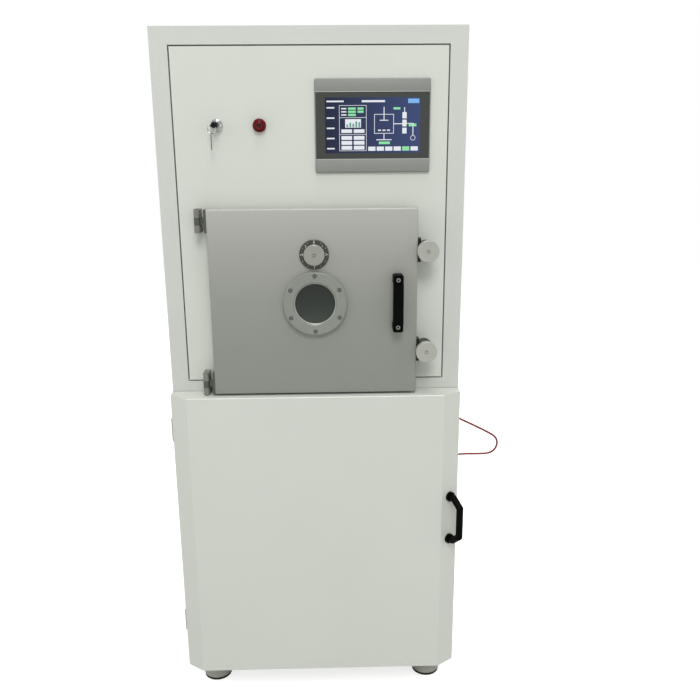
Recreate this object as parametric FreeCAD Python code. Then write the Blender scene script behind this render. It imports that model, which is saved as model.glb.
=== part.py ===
import FreeCAD, Part
import math
import os

from FreeCAD import Vector

# Thin film deposition system: a two-tier cabinet with a vacuum chamber in its upper part and
# the pumps and power supplies in its lower part. Millimetres, +Z up, the front faces -Y, +X is to
# the right of someone who faces the machine. The origin is on the floor, at the centre of the
# whole machine's plan.

# Cabinet
WIDTH = 732.0
DEPTH = 750.0
BASE_Z = 100.0
LEDGE_Z = 885.0
UPPER_H = 870.0
SHEET = 1.5
SHELL_SHEET = 2.0
SHELL_FOLD = 30.0
PANEL_FOLD = 18.0
JOINT_GAP = 0.3

# Welded angle frame of the lower cabinet
ANGLE = 40.0
ANGLE_WALL = 4.0
DECK_T = 6.0
BEARER_Y = (490.0, 590.0)
FRONT_FOLD = 25.0
TRAY_CLEAR = 0.5
DECK_OPEN_CLEAR = 2.0
DECK_OPEN_Y = (40.0, 385.0)
HOSE_HOLE_R = 30.0

# Levelling feet
FOOT_SIDE_INSET = 63.0
FOOT_FRONT_INSET = 60.0
CUP_R = 39.0
CUP_TOP_R = 30.0
CUP_H = 30.0
CUP_SKIRT = 12.0
PAD_H = 8.0
PAD_STEP = 1.0
STUD_R = 8.0
NUT_R = 13.0
NUT_H = 13.0

# Upper front: frame border, inset panel and what it carries
BORDER_SIDE = 41.5
BORDER_TOP = 40.0
BORDER_BOTTOM = 27.0
PANEL_GAP = 3.4
LIP = 15.0
HMI_SIDE = 221.5
HMI_LOW = 16.75
HMI_W = 271.0
HMI_H = 213.0
HMI_PROUD = 7.0
HMI_CUT_W = 260.0
HMI_CUT_H = 202.0
HMI_BODY_DEPTH = 30.0
HMI_CORNER_R = 5.0
HMI_CHAMFER = 2.0
HMI_CUT_CLEAR = 1.0
SCREEN_W = 222.7
SCREEN_H = 125.3
SCREEN_RISE = 1.2
SCREEN_T = 3.0
KEY_SIDE = 145.0
KEY_RISE = 2.0
KEY_RING_R = 13.0
KEY_PROUD = 12.0
KEY_CHAMFER = 2.5
KEY_HOLE_R = 10.0
KEY_BODY = 35.0
KEY_SHANK_R = 3.0
KEY_DEEP = 22.0
KEY_BOW_R = 11.0
KEY_BOW_T = 6.0
KEY_BOW_GAP = 3.0
KEY_LOOP_R = 12.0
KEY_LOOP_WIRE = 0.8
SPARE_BOW_R = 8.0
SPARE_BLADE_W = 6.0
SPARE_T = 2.0
SPARE_L = 36.0
ALARM_SIDE = 245.5
ALARM_RISE = 3.0
ALARM_R = 15.5
ALARM_PROUD = 16.0
ALARM_HOLE_R = 11.0
ALARM_BODY = 40.0

# Chamber door
DOOR_SIDE = 115.0
DOOR_H = 456.0
DOOR_T = 30.0
DOOR_PROUD = 45.0
DOOR_LIFT = 5.5
DOOR_EDGE = 2.0
SEAL_GAP = 0.3

# Chamber
NECK_LIFT = 37.0
NECK_SIDE = 11.0
NECK_TOP = 11.5
NECK_WALL_X = 35.0
NECK_WALL_Z = 25.0
CHAMBER_R = 25.0
CHAMBER_D = 400.0
CHAMBER_WALL = 12.0
FLANGE_OUT = 55.0
FLANGE_LIFT = 7.0
FLANGE_TOP = 17.0
FLANGE_T = 15.0
NECK_CLEAR = 2.0
SEAL_GROOVE_W = 7.0
SEAL_GROOVE_D = 4.0
SEAL_W = 6.4
SEAL_PROUD = 0.25
SEAL_ROUND = 2.0
SEAL_INSET = 12.0
PUMP_PORT_R = 75.0
PUMP_FLANGE_R = 112.5
PUMP_FLANGE_T = 12.0
GAUGE_PORT_R = 12.5
GAUGE_Y = 230.0
GAUGE_FLANGE_R = 20.0
GAUGE_NECK = 40.0
GAUGE_SIDE = 46.0
GAUGE_L = 60.0
LEG_IN = 13.0
LEG_SIDE = 24.0
LEG_H = 75.0
LEG_Y = (70.0, 370.0)

# Viewport and its inside shutter
WINDOW_X = 3.0
WINDOW_DROP = 226.0
WINDOW_RING_R = 78.0
WINDOW_RING_PROUD = 14.0
WINDOW_OPEN_R = 50.5
WINDOW_BORE_R = 48.0
GLASS_R = 58.0
GLASS_T = 8.0
WINDOW_BOLT_R = 68.0
WINDOW_BOLTS = 6
WINDOW_CHAMFER = 2.5
SCREW_R = 5.0
SCREW_H = 5.0
SCREW_SINK = 1.5
SCREW_CLEAR = 0.3
DIAL_X = 2.5
DIAL_DROP = 107.5
DIAL_R = 35.6
DIAL_T = 4.0
DIAL_CHAMFER = 1.0
SHUTTER_KNOB_R = 25.0
SHUTTER_KNOB_T = 14.0
KNOB_CHAMFER = 1.5
SHUTTER_SHAFT_R = 6.0
RUN_CLEAR = 0.05
BLADE_LAP = 6.0
BLADE_R = WINDOW_BORE_R + BLADE_LAP
BLADE_T = 1.5
BLADE_GAP = 4.0
BLADE_ARM = 18.0
BLADE_NUT = 4.0

# Door pull handle
PULL_IN = 48.0
PULL_DROP = 225.0
PULL_L = 140.0
PULL_W = 25.0
PULL_H = 34.0
PULL_BAR_T = 11.0
PULL_POST = 20.0
PULL_GRIP = 96.0
PULL_STEP = 4.0
PULL_END_R = 5.0
PULL_ROUND = 6.0
PULL_SCREW_SPAN = 116.0
PULL_SCREW_R = 5.0
PULL_SCREW_H = 4.0

# Door hinges
HINGE_OUT = 22.5
HINGE_R = 7.5
HINGE_H = 55.0
HINGE_PIN_R = 4.0
HINGE_HEAD_R = 5.5
HINGE_HEAD_H = 2.0
HINGE_PROUD = 33.0
HINGE_LOW_DROP = 3.5
HINGE_BASE_T = 8.0
HINGE_LEAF_T = 6.0
HINGE_LEAF_IN = 3.0
HINGE_MID = 17.0
HINGE_PLAY = 0.5

# Door clamps
CLAMP_OUT = 23.5
CLAMP_DROP = 100.5
CLAMP_RISE = 107.5
CLAMP_KNOB_R = 26.0
CLAMP_KNOB_T = 14.0
CLAMP_HUB_R = 12.0
CLAMP_WASHER_R = 14.0
CLAMP_WASHER_T = 3.0
CLAMP_STUD_R = 6.0
CLAMP_PITCH = 1.75
CLAMP_TURNS = 3.0
CLAMP_CLOSED_GAP = 2.5
CLAMP_SEAT_GAP = 0.3
CLAMP_FREE_GAP = 1.2
CLAMP_PLATE_T = 8.0
CLAMP_PLATE_H = 57.0
CLAMP_PLATE_IN = 4.0
KNOB_SCREW_R = 4.5
KNOB_SCREW_D = 3.0
CLAMP_ROUND = 1.5
CLAMP_ARM_R = 17.0
CLAMP_ARM_T = 12.0
CLAMP_ARM_FROM_BACK = 6.0
SOCKET_R = 14.0
SOCKET_FLANGE_R = 20.0
SOCKET_FLANGE_T = 3.0
SOCKET_H = 16.0
SOCKET_DEEP = 14.0

# Lower door
LOWER_PROUD = 63.5
LOWER_EDGE = 33.4
CHAMFER_X = 44.0
LOWER_BOTTOM = 97.0
LOWER_GAP = 1.5
LOWER_FOLD = 16.0
LOWER_HINGE_IN = (121.0, 104.0)
LOWER_HINGE_H = 62.0
LOWER_HINGE_R = 4.6
LOWER_LEAF_T = 1.6
LOWER_LEAF_W = 24.0
LOWER_PIN_R = 2.0
LOWER_HINGE_OUT = 5.0
LOWER_PULL_DROP = 283.0
LOWER_PULL_SPAN = 121.0
LOWER_PULL_R = 9.0
LOWER_PULL_OUT = 40.0
LOWER_PULL_PAD_R = 13.0
LOWER_PULL_PAD_T = 7.0
LOWER_PULL_STEP = 16.0
LOWER_PULL_SLOPE = 20.0

# Substrate stage, over the centre of the magnetron heads
STAGE_Y = 190.0
STAGE_R = 100.0
STAGE_T = 8.0
STAGE_RISE = 255.0
STAGE_SHAFT_R = 8.0
STAGE_RIM = 12.0
STAGE_RIM_DROP = 5.0
STAGE_HUB_R = 20.0
STAGE_HUB_H = 12.0
FEED_FLANGE_R = 35.0
FEED_FLANGE_T = 14.0
FEED_BODY_R = 24.0
FEED_BODY_H = 60.0
MOTOR_SIDE = 60.0
MOTOR_H = 76.0
MOTOR_ROUND = 6.0

# Magnetron heads and their shutters
HEAD_CIRCLE_R = 100.0
HEAD_ANGLES = (90.0, 210.0, 330.0)
HEAD_R = 38.0
HEAD_LIFT = 20.0
HEAD_H = 75.0
HEAD_NECK_R = 20.0
HEAD_FLANGE_R = 45.0
HEAD_FLANGE_T = 12.0
HEAD_TAIL = 60.0
TARGET_R = 30.0
TARGET_T = 4.0
TARGET_SINK = 3.0
PIVOT_R = 5.0
PIVOT_DEEP = 30.0
SHUTTER_R = 41.0
SHUTTER_T = 1.5
SHUTTER_LIFT = 14.0
SHUTTER_ARM_W = 14.0
ACTUATOR_SIDE = 28.0
ACTUATOR_H = 46.0
ACTUATOR_FLANGE_R = 16.0
ACTUATOR_FLANGE_T = 8.0
ACTUATOR_CLEAR = 1.2
PIVOT_OUT = HEAD_FLANGE_R + ACTUATOR_SIDE * math.sqrt(0.5) + ACTUATOR_CLEAR

# Pumping line
VALVE_T = 70.0
VALVE_W = 236.0
VALVE_BONNET = 190.0
VALVE_RECESS = 22.0
VALVE_ROUND = 100.0
VALVE_PISTON_R = 30.0
VALVE_PISTON_L = 80.0
TURBO_FLANGE_T = 20.0
TURBO_R = 92.0
TURBO_BACK_CLEAR = 65.2
TURBO_BASE_R = 78.0
TURBO_BASE_L = 34.0
TURBO_PORT_IN = 9.3
TURBO_PORT_DROP = 122.5
FORELINE_R = 18.0
HOSE_DROP_HIGH = 125.0
HOSE_DROP_LOW = 245.0
PUMP_INLET_X = 60.0
PUMP_INLET_Y = 560.0
PUMP_INLET_Z = 400.0
PUMP_L = 300.0
PUMP_W = 150.0
PUMP_H = 190.0
PUMP_FOOT_H = 30.0
PUMP_ROUND = 20.0
PUMP_FOOT_IN = 20.0
PUMP_MOTOR_R = 70.0
PUMP_MOTOR_SINK = 4.0
PUMP_MOTOR_L = 170.0

# Power supplies, stacked at the left of the lower cabinet
SUPPLY_W = 300.0
SUPPLY_D = 380.0
SUPPLY_H = 88.0
SUPPLY_COUNT = 3
SUPPLY_FOOT = 7.0
SUPPLY_PAD_R = 9.0
SUPPLY_PAD_IN = 25.0
SUPPLY_IN = 31.0
SUPPLY_Y = 30.0

# Rear louvres
LOUVRE_W = 220.0
LOUVRE_PITCH = 26.0
LOUVRE_SLOT = 8.0
LOUVRE_DEPTH = 8.0
LOUVRE_COUNT = 8
LOUVRE_LOW_DROP = 325.0
LOUVRE_HIGH_DROP = 335.0

# Air tube at the right side
AIR_R = 3.0
AIR_FITTING_R = 7.0
AIR_FITTING_L = 9.0
AIR_INSIDE = 20.0
AIR_COLLAR = 2.0
AIR_Y = 300.0
AIR_DROP = 179.0
AIR_SPAN = 136.0
AIR_ROUTE = ((30.0, -2.0), (59.0, -20.0), (100.0, -40.0), (138.0, -60.0), (169.2, -78.3), (176.8, -98.8),
             (170.5, -119.9), (153.0, -133.0), (118.0, -134.5), (76.0, -133.5), (39.0, -136.5))

# Gas lines at the chamber's left side
GAS_Y = 250.0
GAS_RISE = (155.0, 225.0)
GAS_TUBE_R = 3.2
GAS_PLATE_IN = 61.0
GAS_PLATE_T = 4.0
GAS_PLATE_W = 120.0
GAS_PLATE_H = 275.0
GAS_CASE = 30.0
GAS_CASE_W = 80.0
GAS_CASE_H = 45.0

# Small fitting at the left side, under the ledge
SIDE_FIT_Y = 8.0
SIDE_FIT_W = 14.0
SIDE_FIT_DROP = 41.5
SIDE_FIT_H = 15.0
SIDE_FIT_OUT = 6.0

# Places that follow from the sizes above
HALF_W = WIDTH / 2
TOP_Z = LEDGE_Z + UPPER_H
FOOT_X = HALF_W - FOOT_SIDE_INSET
LOWER_FLAT = HALF_W - CHAMFER_X
CHAMFER_Y = LOWER_PROUD - LOWER_EDGE
CHAMFER_L = math.hypot(CHAMFER_X, CHAMFER_Y)
FRONT_MOST = (LOWER_PROUD + LOWER_EDGE) / 2 + LOWER_PULL_OUT * CHAMFER_X / CHAMFER_L + LOWER_PULL_R
TRAY_Z = BASE_Z + ANGLE_WALL
FRONT_Y = (FRONT_MOST - DEPTH - LOUVRE_DEPTH) / 2
BACK_Y = FRONT_Y + DEPTH
DOOR_W = WIDTH - 2 * DOOR_SIDE
DOOR_Z0 = LEDGE_Z + DOOR_LIFT
DOOR_Z1 = DOOR_Z0 + DOOR_H
DOOR_FACE_Y = FRONT_Y - DOOR_PROUD
DOOR_BACK_Y = DOOR_FACE_Y + DOOR_T
NECK_Y = DOOR_BACK_Y + SEAL_GAP
NECK_X = DOOR_W / 2 - NECK_SIDE
NECK_Z0 = LEDGE_Z + NECK_LIFT
NECK_Z1 = DOOR_Z1 - NECK_TOP
INNER_X = NECK_X - NECK_WALL_X
INNER_Z0 = NECK_Z0 + NECK_WALL_Z
INNER_Z1 = NECK_Z1 - NECK_WALL_Z
INNER_BACK_Y = NECK_Y + CHAMBER_D
OUTER_X = INNER_X + CHAMBER_WALL
OUTER_Z0 = INNER_Z0 - CHAMBER_WALL
OUTER_Z1 = INNER_Z1 + CHAMBER_WALL
OUTER_BACK_Y = INNER_BACK_Y + CHAMBER_WALL
LEG_X = OUTER_X - LEG_IN
LEG_TOP = LEDGE_Z + LEG_H
DECK_OPEN_X = LEG_X - LEG_SIDE / 2 - DECK_OPEN_CLEAR
PORT_Z = (INNER_Z0 + INNER_Z1) / 2
VALVE_Y = OUTER_BACK_Y + PUMP_FLANGE_T
TURBO_Y = VALVE_Y + VALVE_T
TURBO_END_Y = BACK_Y - SHEET - TURBO_BACK_CLEAR - TURBO_BASE_L
TURBO_PORT_Y = TURBO_END_Y - TURBO_PORT_IN
TURBO_PORT_Z = PORT_Z - TURBO_PORT_DROP
HOSE_BEND_HIGH = LEDGE_Z - HOSE_DROP_HIGH
HOSE_BEND_LOW = LEDGE_Z - HOSE_DROP_LOW
WINDOW_Z = DOOR_Z1 - WINDOW_DROP
DIAL_Z = DOOR_Z1 - DIAL_DROP
PULL_X = DOOR_W / 2 - PULL_IN
PULL_Z = DOOR_Z1 - PULL_DROP
HINGE_X = -DOOR_W / 2 - HINGE_OUT
HINGE_Y = FRONT_Y - HINGE_PROUD
CLAMP_X = DOOR_W / 2 + CLAMP_OUT
CLAMP_Z_HIGH = DOOR_Z1 - CLAMP_DROP
CLAMP_Z_LOW = DOOR_Z0 + CLAMP_RISE
CLAMP_TRAVEL = CLAMP_PITCH * CLAMP_TURNS
STAGE_CY = FRONT_Y + STAGE_Y
STAGE_Z = LEDGE_Z + STAGE_RISE
PANEL_X = HALF_W - BORDER_SIDE - PANEL_GAP
PANEL_Z0 = LEDGE_Z + BORDER_BOTTOM + PANEL_GAP
PANEL_Z1 = TOP_Z - BORDER_TOP - PANEL_GAP
HMI_X = HALF_W - HMI_SIDE
HMI_Z = (DOOR_Z1 + TOP_Z) / 2 - HMI_LOW
KEY_X = KEY_SIDE - HALF_W
KEY_Z = HMI_Z + KEY_RISE
ALARM_X = ALARM_SIDE - HALF_W
ALARM_Z = HMI_Z + ALARM_RISE
LOUVRE_LOW_Z = LEDGE_Z - LOUVRE_LOW_DROP
LOUVRE_HIGH_Z = TOP_Z - LOUVRE_HIGH_DROP
AIR_TOP_Z = LEDGE_Z - AIR_DROP
AIR_LOW_Z = AIR_TOP_Z - AIR_SPAN
SUPPLY_X = SUPPLY_IN - HALF_W
GAS_PLATE_X = GAS_PLATE_IN - HALF_W
GAS_PLATE_TOP = LEDGE_Z + GAS_PLATE_H
GAS_Z = [LEDGE_Z + rise for rise in GAS_RISE]
SIDE_FIT_Z = LEDGE_Z - SIDE_FIT_DROP
LOWER_HINGE_Z = (LOWER_BOTTOM + LOWER_HINGE_IN[0], LEDGE_Z - LOWER_HINGE_IN[1])
LOWER_PULL_TOP = LEDGE_Z - LOWER_PULL_DROP
LOWER_PULL_LOW = LOWER_PULL_TOP - LOWER_PULL_SPAN
LOWER_HINGE_X = -HALF_W - LOWER_HINGE_OUT
LOWER_HINGE_Y = FRONT_Y - LOWER_GAP / 2

X = Vector(1, 0, 0)
Y = Vector(0, 1, 0)
Z = Vector(0, 0, 1)


def block(x0, x1, y0, y1, z0, z1):
    """A box between two corners, given in either order."""
    corner = Vector(min(x0, x1), min(y0, y1), min(z0, z1))
    return Part.makeBox(abs(x1 - x0), abs(y1 - y0), abs(z1 - z0), corner)


def rod(x, y, z, axis, radius, length):
    """A round bar that starts at a point and runs along an axis."""
    return Part.makeCylinder(radius, length, Vector(x, y, z), axis)


def prism(points, depth):
    """A closed outline of straight edges, pushed along a vector."""
    corners = [Vector(*p) for p in points]
    return Part.Face(Part.makePolygon(corners + corners[:1])).extrude(depth)


def cone(x, y, z, axis, radius0, radius1, length):
    """A tapered round bar."""
    return Part.makeCone(radius0, radius1, length, Vector(x, y, z), axis)


def edges_along(shape, axis):
    """The straight edges of a solid that run along an axis."""
    found = []
    for edge in shape.Edges:
        if isinstance(edge.Curve, Part.Line) and abs(edge.Curve.Direction.dot(axis)) > 0.999:
            found.append(edge)
    return found


def round_along(shape, axis, radius):
    """Round every edge of a plain block that runs along an axis."""
    return shape.makeFillet(radius, edges_along(shape, axis))


def front_plate(x0, x1, z0, z1, y0, y1, radius):
    """A plate parallel to the front with rounded corners."""
    return round_along(block(x0, x1, y0, y1, z0, z1), Y, radius)


def fused(*shapes):
    """One solid from pieces that are welded or cast together."""
    whole = shapes[0]
    if len(shapes) > 1:
        whole = whole.fuse(list(shapes[1:]))
    return whole.removeSplitter()


def save(name, *solids):
    """One node: a single solid, or a group of like solids."""
    shape = solids[0] if len(solids) == 1 else Part.makeCompound(list(solids))
    shape.exportStep("parts/%s.step" % name)


def mirror_x(shape):
    """The same piece on the other side of the machine."""
    return shape.mirror(Vector(0, 0, 0), X)


def angle_post(side, y_face, inward):
    """A corner post of angle section, with its corner at the frame's outer corner."""
    x = side * (HALF_W - SHEET)
    top = LEDGE_Z - DECK_T
    outer = block(x, x - side * ANGLE, y_face, y_face + inward * ANGLE, BASE_Z, top)
    xi = x - side * ANGLE_WALL
    yi = y_face + inward * ANGLE_WALL
    return outer.cut(block(xi, xi - side * ANGLE, yi, yi + inward * ANGLE, BASE_Z, top))


def angle_ring(z_face, inward):
    """A level ring of angle rails: its flange lies at z_face, its web stands up or down."""
    x = HALF_W - SHEET
    y0 = FRONT_Y + SHEET
    y1 = BACK_Y - SHEET
    w = ANGLE_WALL
    z_far = z_face + inward * ANGLE
    outer = block(-x, x, y0, y1, z_face, z_far)
    web = block(-x + w, x - w, y0 + w, y1 - w, z_face + inward * w, z_far)
    hole = block(-x + ANGLE, x - ANGLE, y0 + ANGLE, y1 - ANGLE, z_face, z_far)
    return outer.cut(web).cut(hole)


def foot_places():
    """Centres of the four levelling feet."""
    front = FRONT_Y + FOOT_FRONT_INSET
    back = BACK_Y - FOOT_FRONT_INSET
    return [(-FOOT_X, front), (FOOT_X, front), (-FOOT_X, back), (FOOT_X, back)]


def lower_frame():
    """Posts, two rings, pump bearers and foot plates, welded together."""
    pieces = []
    for side in (-1, 1):
        pieces.append(angle_post(side, FRONT_Y + SHEET, 1))
        pieces.append(angle_post(side, BACK_Y - SHEET, -1))
    pieces.append(angle_ring(BASE_Z, 1))
    pieces.append(angle_ring(LEDGE_Z - DECK_T, -1))
    x = HALF_W - SHEET - ANGLE_WALL
    top = BASE_Z + ANGLE_WALL
    for offset in BEARER_Y:
        pieces.append(block(-x, x, FRONT_Y + offset, FRONT_Y + offset + ANGLE, BASE_Z, top))
    for fx, fy in foot_places():
        half = x - abs(fx)
        pieces.append(block(fx - half, fx + half, fy - half, fy + half, BASE_Z, top))
    frame = fused(*pieces)
    for fx, fy in foot_places():
        frame = frame.cut(rod(fx, fy, BASE_Z, Z, STUD_R, ANGLE_WALL))
    return frame


def hexagon(x, y, z, radius, height):
    """An upright hexagonal nut."""
    corners = []
    for i in range(6):
        a = math.radians(60 * i)
        corners.append((x + radius * math.cos(a), y + radius * math.sin(a), z))
    return prism(corners, Z * height)


def feet():
    """Levelling feet: rubber pads, flared cups, threaded studs with lock nuts."""
    pads = []
    cups = []
    studs = []
    for x, y in foot_places():
        pads.append(rod(x, y, 0, Z, CUP_R - PAD_STEP, PAD_H))
        skirt = rod(x, y, PAD_H, Z, CUP_R, CUP_SKIRT)
        cups.append(fused(skirt, cone(x, y, PAD_H + CUP_SKIRT, Z, CUP_R, CUP_TOP_R, CUP_H - CUP_SKIRT)))
        z = PAD_H + CUP_H
        stud = rod(x, y, z, Z, STUD_R, BASE_Z + ANGLE_WALL - z)
        studs.append(fused(stud, hexagon(x, y, BASE_Z - NUT_H, NUT_R, NUT_H)))
    save("foot_pads", *pads)
    save("foot_cups", *cups)
    save("foot_studs", *studs)


def side_panel():
    """Left skin of the lower cabinet, with a fold that covers the front of the frame's post."""
    x = -HALF_W
    skin = block(x, x + SHEET, FRONT_Y, BACK_Y, BASE_Z, LEDGE_Z)
    fold = block(x, x + FRONT_FOLD, FRONT_Y, FRONT_Y + SHEET, BASE_Z, LEDGE_Z - DECK_T)
    return fused(skin, fold)


def louvre_column(x0, z0):
    """One column of pressed louvres: the slots in the skin and the hoods that stand out of it."""
    slots = []
    hoods = []
    for i in range(LOUVRE_COUNT):
        z = z0 + i * LOUVRE_PITCH
        slots.append(block(x0, x0 + LOUVRE_W, BACK_Y - SHEET, BACK_Y, z, z + LOUVRE_SLOT))
        outline = [(x0, BACK_Y, z + LOUVRE_SLOT), (x0, BACK_Y + LOUVRE_DEPTH, z),
                   (x0, BACK_Y + LOUVRE_DEPTH, z + SHEET), (x0, BACK_Y, z + LOUVRE_SLOT + 2 * SHEET)]
        hoods.append(prism(outline, X * LOUVRE_W))
    return slots, hoods


def rear_panel(half_width, z0, z1, louvre_z):
    """A rear skin with two columns of louvres."""
    panel = block(-half_width, half_width, BACK_Y - SHEET, BACK_Y, z0, z1)
    hoods = []
    for centre in (-half_width / 2, half_width / 2):
        slots, column = louvre_column(centre - LOUVRE_W / 2, louvre_z)
        panel = panel.cut(Part.makeCompound(slots))
        hoods += column
    return fused(panel, *hoods)


def lower_cabinet():
    """Frame, skins, tray and deck of the lower cabinet."""
    save("lower_frame", lower_frame())
    feet()
    inside = HALF_W - SHEET
    rim = inside - ANGLE_WALL - TRAY_CLEAR
    y0 = FRONT_Y + SHEET + ANGLE_WALL + TRAY_CLEAR
    y1 = BACK_Y - SHEET - ANGLE_WALL - TRAY_CLEAR
    save("base_tray", block(-rim, rim, y0, y1, TRAY_Z, TRAY_Z + SHEET))
    left = side_panel()
    save("lower_left_panel", left)
    right = mirror_x(left)
    for z in (AIR_TOP_Z, AIR_LOW_Z):
        right = right.cut(rod(inside, FRONT_Y + AIR_Y, z, X, AIR_FITTING_R, SHEET))
    save("lower_right_panel", right)
    save("lower_rear_panel", rear_panel(inside, BASE_Z, LEDGE_Z, LOUVRE_LOW_Z))
    deck_z = LEDGE_Z - DECK_T
    deck = block(-inside, inside, FRONT_Y, BACK_Y - SHEET, deck_z, LEDGE_Z)
    near, far = DECK_OPEN_Y
    deck = deck.cut(block(-DECK_OPEN_X, DECK_OPEN_X, FRONT_Y + near, FRONT_Y + far, deck_z, LEDGE_Z))
    deck = deck.cut(rod(0, TURBO_PORT_Y, deck_z, Z, HOSE_HOLE_R, DECK_T))
    save("deck_plate", deck)
    fitting = block(-HALF_W - SIDE_FIT_OUT, -HALF_W, FRONT_Y + SIDE_FIT_Y, FRONT_Y + SIDE_FIT_Y + SIDE_FIT_W,
                    SIDE_FIT_Z - SIDE_FIT_H / 2, SIDE_FIT_Z + SIDE_FIT_H / 2)
    save("side_fitting", fitting)


def at_depth(shape, y):
    """The edges of a solid that lie in a plane parallel to the front."""
    return [e for e in shape.Edges if all(abs(v.Y - y) < 0.001 for v in e.Vertexes)]


def tube(x, y, z, axis, outer, inner, length):
    """A round tube that starts at a point and runs along an axis."""
    return rod(x, y, z, axis, outer, length).cut(rod(x, y, z, axis, inner, length))


def upper_shell():
    """Skin of the upper cabinet: front border with its returns and lip, sides and top, folded rims."""
    t = SHELL_SHEET
    y = FRONT_Y
    back = BACK_Y - SHEET
    ox = HALF_W - BORDER_SIDE
    oz0 = LEDGE_Z + BORDER_BOTTOM
    oz1 = TOP_Z - BORDER_TOP
    lip_y = y + PANEL_FOLD
    skin = block(-HALF_W, HALF_W, y, back, LEDGE_Z, TOP_Z)
    skin = skin.cut(block(-HALF_W + t, HALF_W - t, y + t, back - t, LEDGE_Z + t, TOP_Z - t))
    skin = skin.cut(block(-HALF_W + SHELL_FOLD, HALF_W - SHELL_FOLD, y + SHELL_FOLD, back - SHELL_FOLD,
                          LEDGE_Z, LEDGE_Z + t))
    skin = skin.cut(block(-HALF_W + SHELL_FOLD, HALF_W - SHELL_FOLD, back - t, back,
                          LEDGE_Z + SHELL_FOLD, TOP_Z - SHELL_FOLD))
    skin = skin.cut(block(-ox, ox, y, y + t, oz0, oz1))
    sleeve = block(-ox - t, ox + t, y + t, lip_y + t, oz0 - t, oz1 + t)
    sleeve = sleeve.cut(block(-ox, ox, y + t, lip_y + t, oz0, oz1))
    lip = block(-ox, ox, lip_y, lip_y + t, oz0, oz1)
    lip = lip.cut(block(-ox + LIP, ox - LIP, lip_y, lip_y + t, oz0 + LIP, oz1 - LIP))
    return fused(skin, sleeve, lip)


def front_panel():
    """Inset front panel with folded edges and the openings for what it carries."""
    t = SHELL_SHEET
    y = FRONT_Y
    skin = block(-PANEL_X, PANEL_X, y, y + t, PANEL_Z0, PANEL_Z1)
    folds = block(-PANEL_X, PANEL_X, y + t, y + PANEL_FOLD, PANEL_Z0, PANEL_Z1)
    folds = folds.cut(block(-PANEL_X + t, PANEL_X - t, y + t, y + PANEL_FOLD, PANEL_Z0 + t, PANEL_Z1 - t))
    half_w = HMI_CUT_W / 2
    half_h = HMI_CUT_H / 2
    neck = NECK_X + NECK_CLEAR
    cuts = [block(-neck, neck, y, y + t, NECK_Z0 - NECK_CLEAR, NECK_Z1 + NECK_CLEAR),
            block(HMI_X - half_w, HMI_X + half_w, y, y + t, HMI_Z - half_h, HMI_Z + half_h),
            rod(KEY_X, y, KEY_Z, Y, KEY_HOLE_R, t),
            rod(ALARM_X, y, ALARM_Z, Y, ALARM_HOLE_R, t)]
    return fused(skin, folds).cut(Part.makeCompound(cuts))


def upper_cabinet():
    """Shell, front panel and rear panel of the upper cabinet."""
    save("upper_shell", upper_shell())
    save("front_panel", front_panel())
    save("upper_rear_panel", rear_panel(HALF_W, LEDGE_Z, TOP_Z, LOUVRE_HIGH_Z))


def touch_panel():
    """Operator screen: bezel with its housing behind the panel, and the glass set in the bezel."""
    half_w = HMI_W / 2
    half_h = HMI_H / 2
    face = FRONT_Y - HMI_PROUD
    bezel = front_plate(HMI_X - half_w, HMI_X + half_w, HMI_Z - half_h, HMI_Z + half_h,
                        face, FRONT_Y, HMI_CORNER_R)
    bezel = bezel.makeChamfer(HMI_CHAMFER, at_depth(bezel, face))
    half_w = HMI_CUT_W / 2 - HMI_CUT_CLEAR
    half_h = HMI_CUT_H / 2 - HMI_CUT_CLEAR
    body = block(HMI_X - half_w, HMI_X + half_w, FRONT_Y, FRONT_Y + HMI_BODY_DEPTH,
                 HMI_Z - half_h, HMI_Z + half_h)
    mid_z = HMI_Z + SCREEN_RISE
    screen = block(HMI_X - SCREEN_W / 2, HMI_X + SCREEN_W / 2, face, face + SCREEN_T,
                   mid_z - SCREEN_H / 2, mid_z + SCREEN_H / 2)
    save("hmi_bezel", fused(bezel, body).cut(screen))
    save("hmi_screen", screen)


def key_switch():
    """Key switch: chromed lock barrel, and the key that turns in it with its ring and spare key."""
    face = FRONT_Y - KEY_PROUD
    collar = rod(KEY_X, face, KEY_Z, Y, KEY_RING_R, KEY_PROUD)
    collar = collar.makeChamfer(KEY_CHAMFER, at_depth(collar, face))
    barrel = fused(collar, rod(KEY_X, FRONT_Y, KEY_Z, Y, KEY_HOLE_R, KEY_BODY))
    save("key_switch", barrel.cut(rod(KEY_X, face, KEY_Z, Y, KEY_SHANK_R + RUN_CLEAR, KEY_DEEP)))
    bow_back = face - KEY_BOW_GAP
    tip = face + KEY_DEEP - JOINT_GAP
    shank = rod(KEY_X, bow_back - KEY_BOW_GAP, KEY_Z, Y, KEY_SHANK_R, tip - bow_back + KEY_BOW_GAP)
    bow_y = bow_back - KEY_BOW_R
    normal = Vector(1, 0, 1).normalize()
    centre = Vector(KEY_X, bow_y, KEY_Z)
    bow = Part.makeCylinder(KEY_BOW_R, KEY_BOW_T, centre - normal * (KEY_BOW_T / 2), normal)
    reach = (KEY_BOW_R - 1.0) / math.sqrt(2)
    loop = Vector(KEY_X - reach, bow_y, KEY_Z + reach - KEY_LOOP_R)
    ring = Part.makeTorus(KEY_LOOP_R, KEY_LOOP_WIRE, loop, Y)
    spare_z = loop.z - KEY_LOOP_R - SPARE_BOW_R + 1.5
    spare = rod(loop.x, bow_y - SPARE_T / 2, spare_z, Y, SPARE_BOW_R, SPARE_T)
    blade = block(loop.x - SPARE_BLADE_W / 2, loop.x + SPARE_BLADE_W / 2, bow_y - SPARE_T / 2,
                  bow_y + SPARE_T / 2, spare_z - SPARE_L, spare_z)
    save("key", fused(shank, bow, ring, spare, blade))


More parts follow.
